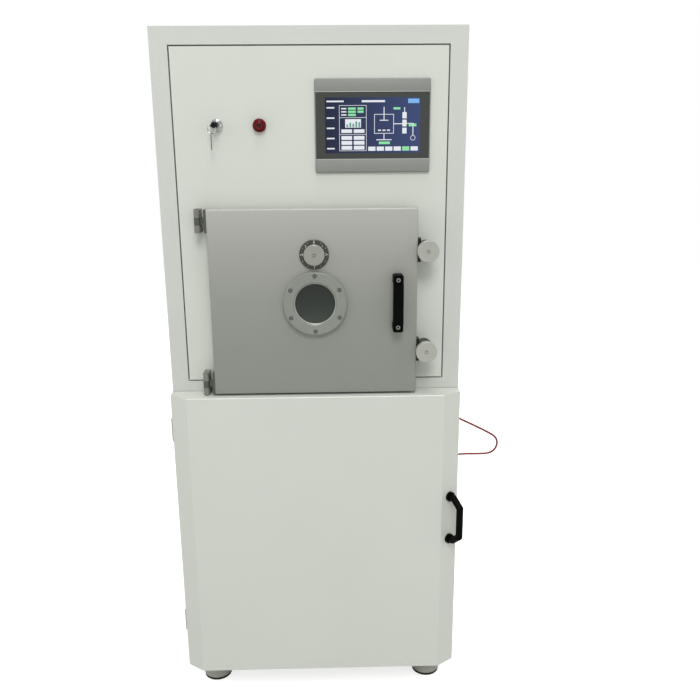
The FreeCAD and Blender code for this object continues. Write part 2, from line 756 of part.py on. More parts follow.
def turned(x, z, profile):
    """A round body whose axis runs from front to back, from an outline of radii and depths."""
    corners = [Vector(x + r, y, z) for r, y in profile]
    return Part.Face(Part.makePolygon(corners + corners[:1])).revolve(Vector(x, 0, z), Y, 360)


def alarm_lamp():
    """Round alarm: a stepped lens with its socket behind the panel."""
    face = FRONT_Y - ALARM_PROUD
    profile = [(0, face), (0.28 * ALARM_R, face), (0.34 * ALARM_R, face + 2), (0.62 * ALARM_R, face + 1),
               (0.80 * ALARM_R, face + 3), (0.86 * ALARM_R, face + 7), (ALARM_R, face + 8),
               (ALARM_R, FRONT_Y), (ALARM_HOLE_R, FRONT_Y), (ALARM_HOLE_R, FRONT_Y + ALARM_BODY),
               (0, FRONT_Y + ALARM_BODY)]
    save("alarm_lamp", turned(ALARM_X, ALARM_Z, profile))


def spoke_places(radius):
    """Three places around the stage's axis, on the magnetron heads' spokes."""
    places = []
    for angle in HEAD_ANGLES:
        a = math.radians(angle)
        places.append((radius * math.cos(a), STAGE_CY + radius * math.sin(a)))
    return places


def seal_ring(width, y0, y1):
    """A band around the sealing face: the groove, or the ring that lies in it."""
    x = NECK_X - SEAL_INSET
    z0 = NECK_Z0 + SEAL_INSET
    z1 = NECK_Z1 - SEAL_INSET
    half = width / 2
    outer = front_plate(-x - half, x + half, z0 - half, z1 + half, y0, y1, CHAMBER_R + half)
    inner = front_plate(-x + half, x - half, z0 + half, z1 - half, y0, y1, CHAMBER_R - half)
    return outer.cut(inner)


def chamber_body():
    """Welded chamber: neck with the sealing face, flange behind the panel, box and pump port."""
    back = FRONT_Y + SHELL_SHEET
    neck = front_plate(-NECK_X, NECK_X, NECK_Z0, NECK_Z1, NECK_Y, back, CHAMBER_R)
    plate = block(-NECK_X - FLANGE_OUT, NECK_X + FLANGE_OUT, back, back + FLANGE_T,
                  NECK_Z0 + FLANGE_LIFT, NECK_Z1 + FLANGE_TOP)
    box = front_plate(-OUTER_X, OUTER_X, OUTER_Z0, OUTER_Z1, back, OUTER_BACK_Y, CHAMBER_R + CHAMBER_WALL)
    port = rod(0, OUTER_BACK_Y, PORT_Z, Y, PUMP_FLANGE_R, PUMP_FLANGE_T)
    cuts = [front_plate(-INNER_X, INNER_X, INNER_Z0, INNER_Z1, NECK_Y, INNER_BACK_Y, CHAMBER_R),
            rod(0, INNER_BACK_Y, PORT_Z, Y, PUMP_PORT_R, CHAMBER_WALL + PUMP_FLANGE_T),
            rod(0, STAGE_CY, INNER_Z1, Z, STAGE_SHAFT_R + RUN_CLEAR, CHAMBER_WALL),
            rod(INNER_X, FRONT_Y + GAUGE_Y, PORT_Z, X, GAUGE_PORT_R, CHAMBER_WALL),
            seal_ring(SEAL_GROOVE_W, NECK_Y, NECK_Y + SEAL_GROOVE_D)]
    for x, y in spoke_places(HEAD_CIRCLE_R):
        cuts.append(rod(x, y, OUTER_Z0, Z, HEAD_NECK_R, CHAMBER_WALL))
    for x, y in spoke_places(HEAD_CIRCLE_R + PIVOT_OUT):
        cuts.append(rod(x, y, OUTER_Z0, Z, PIVOT_R + RUN_CLEAR, CHAMBER_WALL))
    for z in GAS_Z:
        cuts.append(rod(-OUTER_X, FRONT_Y + GAS_Y, z, X, GAS_TUBE_R, CHAMBER_WALL))
    body = fused(neck, plate, box, port)
    for shape in cuts:
        body = body.cut(shape)
    return body


def chamber():
    """Chamber, the feet it stands on, and the seal of its door."""
    save("chamber_body", chamber_body())
    half = LEG_SIDE / 2
    legs = []
    for offset in LEG_Y:
        y = FRONT_Y + offset
        for x in (-LEG_X, LEG_X):
            legs.append(block(x - half, x + half, y - half, y + half, LEDGE_Z, LEG_TOP))
    body = Part.makeCompound(legs).cut(front_plate(-OUTER_X, OUTER_X, OUTER_Z0, OUTER_Z1, FRONT_Y,
                                                   OUTER_BACK_Y, CHAMBER_R + CHAMBER_WALL))
    save("chamber_mounts", *body.Solids)
    y0 = NECK_Y - SEAL_PROUD
    band = seal_ring(SEAL_W, y0, NECK_Y + SEAL_GROOVE_D)
    save("door_seal", band.makeFillet(SEAL_ROUND, at_depth(band, y0)))


def magnetrons():
    """Sputtering heads through the chamber floor, with their targets and shutters."""
    heads = []
    targets = []
    actuators = []
    z0 = INNER_Z0 + HEAD_LIFT
    top = z0 + HEAD_H
    target_z = top - TARGET_SINK - TARGET_T
    flange_z = OUTER_Z0 - HEAD_FLANGE_T
    for x, y in spoke_places(HEAD_CIRCLE_R):
        body = rod(x, y, z0, Z, HEAD_R, HEAD_H)
        stem = rod(x, y, flange_z - HEAD_TAIL, Z, HEAD_NECK_R, z0 - flange_z + HEAD_TAIL)
        flange = rod(x, y, flange_z, Z, HEAD_FLANGE_R, HEAD_FLANGE_T)
        well = rod(x, y, target_z, Z, TARGET_R, top - target_z)
        heads.append(fused(body, stem, flange).cut(well))
        targets.append(rod(x, y, target_z, Z, TARGET_R, TARGET_T))
    save("magnetron_heads", *heads)
    save("target_discs", *targets)
    plate_z = OUTER_Z0 - ACTUATOR_FLANGE_T
    side = ACTUATOR_SIDE / 2
    blade_z = top + SHUTTER_LIFT
    foot_z = OUTER_Z0 - PIVOT_DEEP
    places = zip(spoke_places(HEAD_CIRCLE_R), spoke_places(HEAD_CIRCLE_R + PIVOT_OUT))
    for i, ((hx, hy), (x, y)) in enumerate(places):
        case = block(x - side, x + side, y - side, y + side, plate_z - ACTUATOR_H, plate_z)
        case = fused(rod(x, y, plate_z, Z, ACTUATOR_FLANGE_R, ACTUATOR_FLANGE_T), case)
        actuators.append(case.cut(rod(x, y, foot_z, Z, PIVOT_R + RUN_CLEAR, PIVOT_DEEP)))
        post = rod(x, y, foot_z + JOINT_GAP, Z, PIVOT_R, blade_z - foot_z - JOINT_GAP)
        disc = rod(hx, hy, blade_z, Z, SHUTTER_R, SHUTTER_T)
        half = SHUTTER_ARM_W / 2
        ux = (hx - x) / PIVOT_OUT * half
        uy = (hy - y) / PIVOT_OUT * half
        corners = [(x - uy, y + ux, blade_z), (x + uy, y - ux, blade_z),
                   (hx + uy, hy - ux, blade_z), (hx - uy, hy + ux, blade_z)]
        hub = rod(x, y, blade_z, Z, half, SHUTTER_T)
        save("target_shutter_%d" % (i + 1), fused(post, disc, prism(corners, Z * SHUTTER_T), hub))
    save("shutter_actuators", *actuators)


def stage():
    """Turning substrate stage with its shaft, and its feedthrough and motor over the chamber."""
    y = STAGE_CY
    disc = rod(0, y, STAGE_Z, Z, STAGE_R, STAGE_T)
    rim = tube(0, y, STAGE_Z - STAGE_RIM_DROP, Z, STAGE_R, STAGE_R - STAGE_RIM, STAGE_RIM_DROP)
    top = OUTER_Z1 + FEED_FLANGE_T + FEED_BODY_H
    z = STAGE_Z + STAGE_T
    shaft = rod(0, y, z, Z, STAGE_SHAFT_R, top - JOINT_GAP - z)
    save("substrate_stage", fused(disc, rim, shaft, rod(0, y, z, Z, STAGE_HUB_R, STAGE_HUB_H)))
    flange = rod(0, y, OUTER_Z1, Z, FEED_FLANGE_R, FEED_FLANGE_T)
    case = rod(0, y, OUTER_Z1 + FEED_FLANGE_T, Z, FEED_BODY_R, FEED_BODY_H)
    bore = rod(0, y, OUTER_Z1, Z, STAGE_SHAFT_R + RUN_CLEAR, FEED_FLANGE_T + FEED_BODY_H)
    save("stage_feedthrough", fused(flange, case).cut(bore))
    side = MOTOR_SIDE / 2
    save("stage_motor", round_along(block(-side, side, y - side, y + side, top, top + MOTOR_H),
                                    Z, MOTOR_ROUND))


def rounded_route(points):
    """Straight runs joined by tangent arcs, as large as the two runs at each bend allow, and their radii."""
    edges = []
    radii = []
    start = points[0]
    for a, b, c in zip(points, points[1:], points[2:]):
        before = (b - a).normalize()
        after = (c - b).normalize()
        reach = 0.45 * min((b - a).Length, (c - b).Length)
        turn = before.getAngle(after)
        first = b - before * reach
        last = b + after * reach
        inward = ((first + last) * 0.5 - b).normalize()
        middle = b + inward * (reach / math.tan(turn / 2) * (1 / math.cos(turn / 2) - 1))
        edges.append(Part.LineSegment(start, first).toShape())
        edges.append(Part.Arc(first, middle, last).toShape())
        radii.append(reach / math.tan(turn / 2))
        start = last
    edges.append(Part.LineSegment(start, points[-1]).toShape())
    return Part.Wire(edges), radii


def hose(name, points, radius):
    """A hose along a rounded route; prints its bends, its length and how its volume agrees with them."""
    route, radii = rounded_route(points)
    section = Part.Wire([Part.makeCircle(radius, points[0], points[1] - points[0])])
    solid = route.makePipeShell([section], True, False)
    share = solid.Volume / (math.pi * radius ** 2 * route.Length)
    print(name, "bend radii", [round(r, 1) for r in radii])
    print(name, "length %.1f, volume over section times length %.4f" % (route.Length, share))
    return solid


def gate_valve():
    """Gate valve: body with a round end and the cylinder that draws the gate."""
    y = VALVE_Y
    half = VALVE_W / 2
    top = PORT_Z + half + VALVE_BONNET
    body = block(-half, half, y, y + VALVE_T, PORT_Z - half, top)
    body = body.makeFillet(VALVE_ROUND, [e for e in edges_along(body, Y) if e.Vertexes[0].Z < PORT_Z])
    piston = rod(0, y + VALVE_T / 2, top, Z, VALVE_PISTON_R, VALVE_PISTON_L)
    save("gate_valve", fused(body, piston).cut(rod(0, y, PORT_Z, Y, PUMP_PORT_R, VALVE_RECESS)))


def turbo_pump():
    """Turbo pump: flange, case, base and the outlet under it."""
    case_y = TURBO_Y + TURBO_FLANGE_T
    flange = rod(0, TURBO_Y, PORT_Z, Y, PUMP_FLANGE_R, TURBO_FLANGE_T)
    case = rod(0, case_y, PORT_Z, Y, TURBO_R, TURBO_END_Y - case_y)
    base = rod(0, TURBO_END_Y, PORT_Z, Y, TURBO_BASE_R, TURBO_BASE_L)
    outlet = rod(0, TURBO_PORT_Y, TURBO_PORT_Z, Z, FORELINE_R, PORT_Z - TURBO_PORT_Z)
    save("turbo_pump", fused(flange, case, base, outlet))


def pumping_line():
    """Gate valve and turbo pump behind the chamber, hose down to the backing pump."""
    gate_valve()
    turbo_pump()
    inlet_y = FRONT_Y + PUMP_INLET_Y
    route = [Vector(0, TURBO_PORT_Y, TURBO_PORT_Z), Vector(0, TURBO_PORT_Y, HOSE_BEND_HIGH),
             Vector(PUMP_INLET_X, inlet_y, HOSE_BEND_LOW), Vector(PUMP_INLET_X, inlet_y, PUMP_INLET_Z)]
    save("foreline_hose", hose("foreline hose", route, FORELINE_R))


def backing_pump():
    """Oil-sealed pump: foot, oil box with its inlet, and its motor."""
    y = FRONT_Y + PUMP_INLET_Y
    half = PUMP_W / 2
    z = TRAY_Z + SHEET
    case_z = z + PUMP_FOOT_H
    x0 = PUMP_INLET_X - PUMP_L / 2
    foot = block(x0 - PUMP_MOTOR_L, x0 + PUMP_L, y - half + PUMP_FOOT_IN, y + half - PUMP_FOOT_IN, z, case_z)
    case = round_along(block(x0, x0 + PUMP_L, y - half, y + half, case_z, case_z + PUMP_H), X, PUMP_ROUND)
    motor_z = case_z + PUMP_MOTOR_R - PUMP_MOTOR_SINK
    motor = rod(x0 - PUMP_MOTOR_L, y, motor_z, X, PUMP_MOTOR_R, PUMP_MOTOR_L)
    inlet = rod(PUMP_INLET_X, y, case_z + PUMP_H, Z, FORELINE_R, PUMP_INLET_Z - case_z - PUMP_H)
    save("backing_pump", fused(foot, case, motor, inlet))


def power_supplies():
    """Three boxed supplies on low pads, stacked on the tray."""
    units = []
    y = FRONT_Y + SUPPLY_Y
    for i in range(SUPPLY_COUNT):
        z0 = TRAY_Z + SHEET + i * (SUPPLY_H + SUPPLY_FOOT)
        z1 = z0 + SUPPLY_FOOT
        pieces = [block(SUPPLY_X, SUPPLY_X + SUPPLY_W, y, y + SUPPLY_D, z1, z1 + SUPPLY_H)]
        for x in (SUPPLY_X + SUPPLY_PAD_IN, SUPPLY_X + SUPPLY_W - SUPPLY_PAD_IN):
            for pad_y in (y + SUPPLY_PAD_IN, y + SUPPLY_D - SUPPLY_PAD_IN):
                pieces.append(rod(x, pad_y, z0, Z, SUPPLY_PAD_R, SUPPLY_FOOT))
        units.append(fused(*pieces))
    save("power_supplies", *units)


def gauge_and_gas():
    """Vacuum gauge at the right of the chamber, gas controllers on their plate at its left."""
    y = FRONT_Y + GAUGE_Y
    half = GAUGE_SIDE / 2
    x = OUTER_X + GAUGE_NECK
    neck = rod(OUTER_X, y, PORT_Z, X, GAUGE_FLANGE_R, GAUGE_NECK)
    neck = neck.cut(rod(OUTER_X, y, PORT_Z, X, GAUGE_PORT_R, GAUGE_NECK / 2))
    save("vacuum_gauge", fused(neck, block(x, x + GAUGE_L, y - half, y + half, PORT_Z - half, PORT_Z + half)))
    y = FRONT_Y + GAS_Y
    x = GAS_PLATE_X + GAS_PLATE_T
    pieces = [block(GAS_PLATE_X, x, y - GAS_PLATE_W / 2, y + GAS_PLATE_W / 2, LEDGE_Z, GAS_PLATE_TOP)]
    for z in GAS_Z:
        pieces.append(block(x, x + GAS_CASE, y - GAS_CASE_W / 2, y + GAS_CASE_W / 2,
                            z - GAS_CASE_H / 2, z + GAS_CASE_H / 2))
        pieces.append(rod(x, y, z, X, GAS_TUBE_R, -INNER_X - x))
    save("gas_panel", fused(*pieces))


def window_bolts():
    """Places of the viewport's screws."""
    places = []
    for i in range(WINDOW_BOLTS):
        a = math.radians(90 + 360.0 * i / WINDOW_BOLTS)
        places.append((WINDOW_X + WINDOW_BOLT_R * math.cos(a), WINDOW_Z + WINDOW_BOLT_R * math.sin(a)))
    return places


def door():
    """Thick chamber door with its viewport ring and glass."""
    plate = block(-DOOR_W / 2, DOOR_W / 2, DOOR_FACE_Y, DOOR_BACK_Y, DOOR_Z0, DOOR_Z1)
    plate = plate.makeChamfer(DOOR_EDGE, at_depth(plate, DOOR_FACE_Y))
    plate = plate.cut(rod(WINDOW_X, DOOR_FACE_Y, WINDOW_Z, Y, WINDOW_BORE_R, DOOR_T))
    save("chamber_door", plate.cut(rod(DIAL_X, DOOR_FACE_Y, DIAL_Z, Y, SHUTTER_SHAFT_R + RUN_CLEAR, DOOR_T)))
    y = DOOR_FACE_Y
    face = y - WINDOW_RING_PROUD
    ring = rod(WINDOW_X, face, WINDOW_Z, Y, WINDOW_RING_R, WINDOW_RING_PROUD)
    ring = ring.makeChamfer(WINDOW_CHAMFER, at_depth(ring, face))
    ring = ring.cut(rod(WINDOW_X, y - GLASS_T, WINDOW_Z, Y, GLASS_R, GLASS_T))
    ring = ring.cut(cone(WINDOW_X, face, WINDOW_Z, Y, WINDOW_OPEN_R + WINDOW_CHAMFER, WINDOW_OPEN_R,
                         WINDOW_CHAMFER))
    ring = ring.cut(rod(WINDOW_X, face, WINDOW_Z, Y, WINDOW_OPEN_R, WINDOW_RING_PROUD))
    for x, z in window_bolts():
        ring = ring.cut(rod(x, face, z, Y, SCREW_R + SCREW_CLEAR, SCREW_H + SCREW_SINK))
    save("window_flange", ring)
    save("window_glass", rod(WINDOW_X, y - GLASS_T, WINDOW_Z, Y, GLASS_R, GLASS_T))


def socket_screw(x, y, z, radius, height):
    """A screw head that faces the front, with its hexagon socket."""
    corners = []
    for i in range(6):
        a = math.radians(60 * i)
        corners.append((x + 0.5 * radius * math.cos(a), y, z + 0.5 * radius * math.sin(a)))
    return rod(x, y, z, Y, radius, height).cut(prism(corners, Y * (0.6 * height)))


def door_screws():
    """Screws of the viewport and of the pull handle."""
    screws = []
    for x, z in window_bolts():
        screws.append(socket_screw(x, DOOR_FACE_Y - WINDOW_RING_PROUD + SCREW_SINK, z, SCREW_R, SCREW_H))
    for z in pull_screws():
        screws.append(socket_screw(PULL_X, DOOR_FACE_Y - PULL_H + PULL_STEP, z, PULL_SCREW_R, PULL_SCREW_H))
    save("door_screws", *screws)


def shutter_dial():
    """Fixed dial of the inside shutter, its knob with the shaft through the door, and its blade."""
    face = DOOR_FACE_Y - DIAL_T
    dial = rod(DIAL_X, face, DIAL_Z, Y, DIAL_R, DIAL_T)
    dial = dial.makeChamfer(DIAL_CHAMFER, at_depth(dial, face))
    save("shutter_dial", dial.cut(rod(DIAL_X, face, DIAL_Z, Y, SHUTTER_SHAFT_R + RUN_CLEAR, DIAL_T)))
    back = face - JOINT_GAP
    front = back - SHUTTER_KNOB_T
    knob = rod(DIAL_X, front, DIAL_Z, Y, SHUTTER_KNOB_R, SHUTTER_KNOB_T)
    knob = knob.makeChamfer(KNOB_CHAMFER, at_depth(knob, front))
    knob = knob.cut(tube(DIAL_X, front, DIAL_Z, Y, KNOB_SCREW_R, 0.6 * KNOB_SCREW_R, KNOB_SCREW_D))
    blade_y = DOOR_BACK_Y + BLADE_GAP
    shaft = rod(DIAL_X, back, DIAL_Z, Y, SHUTTER_SHAFT_R, blade_y - back)
    save("shutter_knob", fused(knob, shaft))
    half = BLADE_ARM / 2
    x = DIAL_X - (DIAL_Z - WINDOW_Z)
    disc = rod(x, blade_y, DIAL_Z, Y, BLADE_R, BLADE_T)
    arm = block(x, DIAL_X, blade_y, blade_y + BLADE_T, DIAL_Z - half, DIAL_Z + half)
    hub = rod(DIAL_X, blade_y, DIAL_Z, Y, half, BLADE_T + BLADE_NUT)
    save("shutter_blade", fused(disc, arm, hub))


def pull_handle():
    """Bridge handle on the door: a bar on two posts, with lower ends where its screws sit."""
    x0 = PULL_X - PULL_W / 2
    x1 = PULL_X + PULL_W / 2
    y = DOOR_FACE_Y
    half = PULL_L / 2
    grip = PULL_GRIP / 2
    front = y - PULL_H
    low = front_plate(x0, x1, PULL_Z - half, PULL_Z + half, front + PULL_STEP, y, PULL_END_R)
    raised = block(x0, x1, front, front + PULL_STEP, PULL_Z - grip, PULL_Z + grip)
    hand = block(x0, x1, front + PULL_BAR_T, y, PULL_Z - half + PULL_POST, PULL_Z + half - PULL_POST)
    hand = round_along(hand, X, PULL_ROUND)
    hand = fused(hand, block(x0, x1, y - PULL_ROUND, y, PULL_Z - half + PULL_POST, PULL_Z + half - PULL_POST))
    handle = fused(low, raised).cut(hand)
    for z in pull_screws():
        handle = handle.cut(rod(PULL_X, front + PULL_STEP, z, Y, PULL_SCREW_R + SCREW_CLEAR, PULL_SCREW_H))
    save("door_handle", handle)


def pull_screws():
    """Heights of the pull handle's two screws."""
    return [PULL_Z - PULL_SCREW_SPAN / 2, PULL_Z + PULL_SCREW_SPAN / 2]


def door_hinges():
    """Three-knuckle hinges: fixed brackets with their pins, and the leaves on the door's edge."""
    brackets = []
    leaves = []
    side = (HINGE_H - HINGE_MID) / 2
    r = HINGE_R
    edge = -DOOR_W / 2
    for z in (DOOR_Z1 - HINGE_H, DOOR_Z0 - HINGE_LOW_DROP):
        mid = z + side
        arm = block(HINGE_X - r, HINGE_X + r, HINGE_Y, FRONT_Y, z, z + HINGE_H)
        notch = block(HINGE_X - 2 * r, HINGE_X + 2 * r, HINGE_Y - 2 * r, FRONT_Y - HINGE_BASE_T,
                      mid - HINGE_PLAY, mid + HINGE_MID + HINGE_PLAY)
        bracket = fused(rod(HINGE_X, HINGE_Y, z, Z, r, HINGE_H), arm).cut(notch)
        pin = rod(HINGE_X, HINGE_Y, z, Z, HINGE_PIN_R, HINGE_H)
        head = rod(HINGE_X, HINGE_Y, z + HINGE_H, Z, HINGE_HEAD_R, HINGE_HEAD_H)
        brackets.append(fused(bracket, pin, head))
        knuckle = rod(HINGE_X, HINGE_Y, mid, Z, r, HINGE_MID)
        link = block(HINGE_X, edge - HINGE_LEAF_T, HINGE_Y, HINGE_Y + r, mid, mid + HINGE_MID)
        leaf = block(edge - HINGE_LEAF_T, edge, DOOR_FACE_Y + HINGE_LEAF_IN, DOOR_BACK_Y - HINGE_LEAF_IN,
                     max(z, DOOR_Z0), min(z + HINGE_H, DOOR_Z1))
        bore = rod(HINGE_X, HINGE_Y, mid, Z, HINGE_PIN_R + RUN_CLEAR, HINGE_MID)
        leaves.append(fused(knuckle, link, leaf).cut(bore))
    save("door_hinge_brackets", *brackets)
    save("door_hinge_leaves", *leaves)


def clamps():
    """Screw clamps: brackets on the door's edge, knobs with studs, washers, sockets on the panel."""
    brackets = []
    sockets = []
    arm_back = DOOR_BACK_Y - CLAMP_ARM_FROM_BACK
    arm_front = arm_back - CLAMP_ARM_T
    hub_back = arm_front - CLAMP_SEAT_GAP - CLAMP_WASHER_T - JOINT_GAP - CLAMP_TRAVEL
    disc_back = DOOR_FACE_Y - CLAMP_CLOSED_GAP - CLAMP_TRAVEL
    disc_front = disc_back - CLAMP_KNOB_T
    tip = FRONT_Y - SOCKET_H - CLAMP_FREE_GAP
    edge = DOOR_W / 2
    x = CLAMP_X
    clear = CLAMP_STUD_R + RUN_CLEAR
    for name, z in (("upper", CLAMP_Z_HIGH), ("lower", CLAMP_Z_LOW)):
        plate = block(edge, edge + CLAMP_PLATE_T, DOOR_FACE_Y + CLAMP_PLATE_IN, DOOR_BACK_Y - CLAMP_PLATE_IN,
                      z - CLAMP_PLATE_H / 2, z + CLAMP_PLATE_H / 2)
        arm = block(edge, x, arm_front, arm_back, z - CLAMP_ARM_R, z + CLAMP_ARM_R)
        eye = rod(x, arm_front, z, Y, CLAMP_ARM_R, CLAMP_ARM_T)
        brackets.append(fused(plate, arm, eye).cut(rod(x, arm_front, z, Y, clear, CLAMP_ARM_T)))
        face = FRONT_Y - SOCKET_H
        socket = fused(rod(x, face, z, Y, SOCKET_R, SOCKET_H),
                       rod(x, FRONT_Y - SOCKET_FLANGE_T, z, Y, SOCKET_FLANGE_R, SOCKET_FLANGE_T))
        sockets.append(socket.cut(rod(x, face, z, Y, clear, SOCKET_DEEP)))
        disc = rod(x, disc_front, z, Y, CLAMP_KNOB_R, CLAMP_KNOB_T)
        disc = disc.makeFillet(CLAMP_ROUND, at_depth(disc, disc_front) + at_depth(disc, disc_back))
        disc = disc.cut(tube(x, disc_front, z, Y, KNOB_SCREW_R, 0.6 * KNOB_SCREW_R, KNOB_SCREW_D))
        hub = rod(x, disc_back, z, Y, CLAMP_HUB_R, hub_back - disc_back)
        stud = rod(x, hub_back, z, Y, CLAMP_STUD_R, tip - hub_back)
        save("%s_clamp_knob" % name, fused(disc, hub, stud))
        save("%s_clamp_washer" % name,
             tube(x, hub_back + JOINT_GAP, z, Y, CLAMP_WASHER_R, clear, CLAMP_WASHER_T))
    save("clamp_brackets", *brackets)
    save("clamp_sockets", *sockets)


def lower_door_outline(inset):
    """The lower door's plan, moved in by a wall thickness."""
    turn = math.atan2(CHAMFER_X, CHAMFER_Y)
    x_side = HALF_W - inset
    y_side = FRONT_Y - LOWER_EDGE + inset * math.tan(turn / 2)
    x_flat = LOWER_FLAT - inset * math.tan((math.pi / 2 - turn) / 2)
    y_flat = FRONT_Y - LOWER_PROUD + inset
    right = [(x_side, FRONT_Y - LOWER_GAP), (x_side, y_side), (x_flat, y_flat)]
    return right + [(-x, y) for x, y in reversed(right)]


def lower_door():
    """Chamfered lower door: an open-backed box of sheet with folds around its rear edge."""
    t = SHEET
    shell = prism([(x, y, LOWER_BOTTOM) for x, y in lower_door_outline(0)], Z * (LEDGE_Z - LOWER_BOTTOM))
    hollow = prism([(x, y, LOWER_BOTTOM + t) for x, y in lower_door_outline(t)],
                   Z * (LEDGE_Z - LOWER_BOTTOM - 2 * t))
    rear = FRONT_Y - LOWER_GAP
    x = HALF_W - t
    folds = block(-x, x, rear - t, rear, LOWER_BOTTOM + t, LEDGE_Z - t)
    x = HALF_W - LOWER_FOLD
    folds = folds.cut(block(-x, x, rear - t, rear, LOWER_BOTTOM + LOWER_FOLD, LEDGE_Z - LOWER_FOLD))
    save("lower_door", fused(shell.cut(hollow), folds))


def lower_hinges():
    """Small surface hinges at the left side: fixed leaves with pins, and the door's leaves."""
    fixed = []
    moving = []
    x = -HALF_W
    y = LOWER_HINGE_Y
    third = LOWER_HINGE_H / 3
    for z_mid in LOWER_HINGE_Z:
        z = z_mid - LOWER_HINGE_H / 2
        pin = rod(LOWER_HINGE_X, y, z, Z, LOWER_PIN_R, LOWER_HINGE_H)
        pieces = [block(x - LOWER_LEAF_T, x, y + LOWER_HINGE_R, y + LOWER_LEAF_W, z, z + LOWER_HINGE_H), pin]
        for z0 in (z, z + 2 * third):
            pieces.append(rod(LOWER_HINGE_X, y, z0, Z, LOWER_HINGE_R, third))
            pieces.append(block(LOWER_HINGE_X, x, y + LOWER_HINGE_R - LOWER_LEAF_T, y + LOWER_HINGE_R,
                                z0, z0 + third))
        fixed.append(fused(*pieces))
        z0 = z + third + HINGE_PLAY
        length = third - 2 * HINGE_PLAY
        knuckle = rod(LOWER_HINGE_X, y, z0, Z, LOWER_HINGE_R, length)
        link = block(LOWER_HINGE_X, x, y - LOWER_HINGE_R, y - LOWER_HINGE_R + LOWER_LEAF_T, z0, z0 + length)
        leaf = block(x - LOWER_LEAF_T, x, y - LOWER_LEAF_W, y - LOWER_HINGE_R, z, z + LOWER_HINGE_H)
        bore = rod(LOWER_HINGE_X, y, z0, Z, LOWER_PIN_R + RUN_CLEAR, length)
        moving.append(fused(knuckle, link, leaf).cut(bore))
    save("lower_hinge_fixed", *fixed)
    save("lower_door_hinge_leaves", *moving)


def lower_pull():
    """Handle on the right chamfer of the lower door: round pads and a bent bar."""
    normal = Vector(CHAMFER_Y, -CHAMFER_X, 0).normalize()
    x = (HALF_W + LOWER_FLAT) / 2
    y = FRONT_Y - (LOWER_PROUD + LOWER_EDGE) / 2
    top = Vector(x, y, LOWER_PULL_TOP)
    low = Vector(x, y, LOWER_PULL_LOW)
    out = normal * LOWER_PULL_OUT
    route = [top, top + normal * LOWER_PULL_STEP, top + out - Z * LOWER_PULL_SLOPE,
             low + out + Z * LOWER_PULL_SLOPE, low + normal * LOWER_PULL_STEP, low]
    pieces = []
    for a, b in zip(route, route[1:]):
        pieces.append(Part.makeCylinder(LOWER_PULL_R, (b - a).Length, a, b - a))
    for corner in route[1:-1]:
        pieces.append(Part.makeSphere(LOWER_PULL_R, corner))
    for end in (top, low):
        pieces.append(Part.makeCylinder(LOWER_PULL_PAD_R, LOWER_PULL_PAD_T, end, normal))
    save("lower_door_handle", fused(*pieces))


def bulkhead(x, y, z, axis):
    """A push-in fitting through a skin: its collar outside and its threaded body inside."""
    outer = Vector(x, y, z)
    inner = outer - axis * AIR_INSIDE
    collar = Part.makeCylinder(AIR_FITTING_R + AIR_COLLAR, AIR_FITTING_L, outer, axis)
    return fused(collar, Part.makeCylinder(AIR_FITTING_R, AIR_INSIDE, inner, axis))


def air_line():
    """Air tube that loops out at the right side between two push-in fittings."""
    y = FRONT_Y + AIR_Y
    save("air_fittings", *[bulkhead(HALF_W, y, z, X) for z in (AIR_TOP_Z, AIR_LOW_Z)])
    start = HALF_W + AIR_FITTING_L
    route = [Vector(start, y, AIR_TOP_Z)]
    route += [Vector(HALF_W + out, y, AIR_TOP_Z + rise) for out, rise in AIR_ROUTE]
    route.append(Vector(start, y, AIR_LOW_Z))
    save("air_tube", hose("air tube", route, AIR_R))


if __name__ == "__main__":
    os.makedirs("parts", exist_ok=True)
    lower_cabinet()
    upper_cabinet()
    touch_panel()
    key_switch()
    alarm_lamp()
    chamber()
    magnetrons()
    stage()
    pumping_line()
    backing_pump()
    power_supplies()
    gauge_and_gas()
    door()
    door_screws()
    shutter_dial()
    pull_handle()
    door_hinges()
    clamps()
    lower_door()
    lower_hinges()
    lower_pull()
    air_line()
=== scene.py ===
import math

import bpy
from mathutils import Matrix, Vector


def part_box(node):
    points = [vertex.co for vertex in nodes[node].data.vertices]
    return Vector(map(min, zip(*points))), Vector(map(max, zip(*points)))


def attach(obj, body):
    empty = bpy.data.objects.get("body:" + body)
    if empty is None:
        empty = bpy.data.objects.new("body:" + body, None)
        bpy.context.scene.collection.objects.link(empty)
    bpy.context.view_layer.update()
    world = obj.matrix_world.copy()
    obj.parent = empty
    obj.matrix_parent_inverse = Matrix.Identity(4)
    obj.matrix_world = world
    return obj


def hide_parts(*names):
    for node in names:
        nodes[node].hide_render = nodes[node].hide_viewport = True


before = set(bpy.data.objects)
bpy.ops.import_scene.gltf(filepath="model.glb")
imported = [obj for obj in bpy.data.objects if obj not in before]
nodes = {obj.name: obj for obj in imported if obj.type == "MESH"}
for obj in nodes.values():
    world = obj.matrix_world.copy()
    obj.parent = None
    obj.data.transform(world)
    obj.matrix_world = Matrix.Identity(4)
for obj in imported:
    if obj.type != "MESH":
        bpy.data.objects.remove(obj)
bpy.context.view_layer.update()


# Camera. It stands about 1.9 m in front of the cabinet at the height of someone's eyes and looks
# slightly down, as the picture's lines say, so the upright edges run together towards the floor.
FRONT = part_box("front_panel")[0].y
CAMERA_AWAY = 1.898
CAMERA_X = 0.044
CAMERA_Z = 1.510
LOOK_DOWN = math.radians(15.36)
LOOK_RIGHT = math.radians(1.32)
ROLL = math.radians(0.42)
LENS = 39.93
SENSOR = 36.0

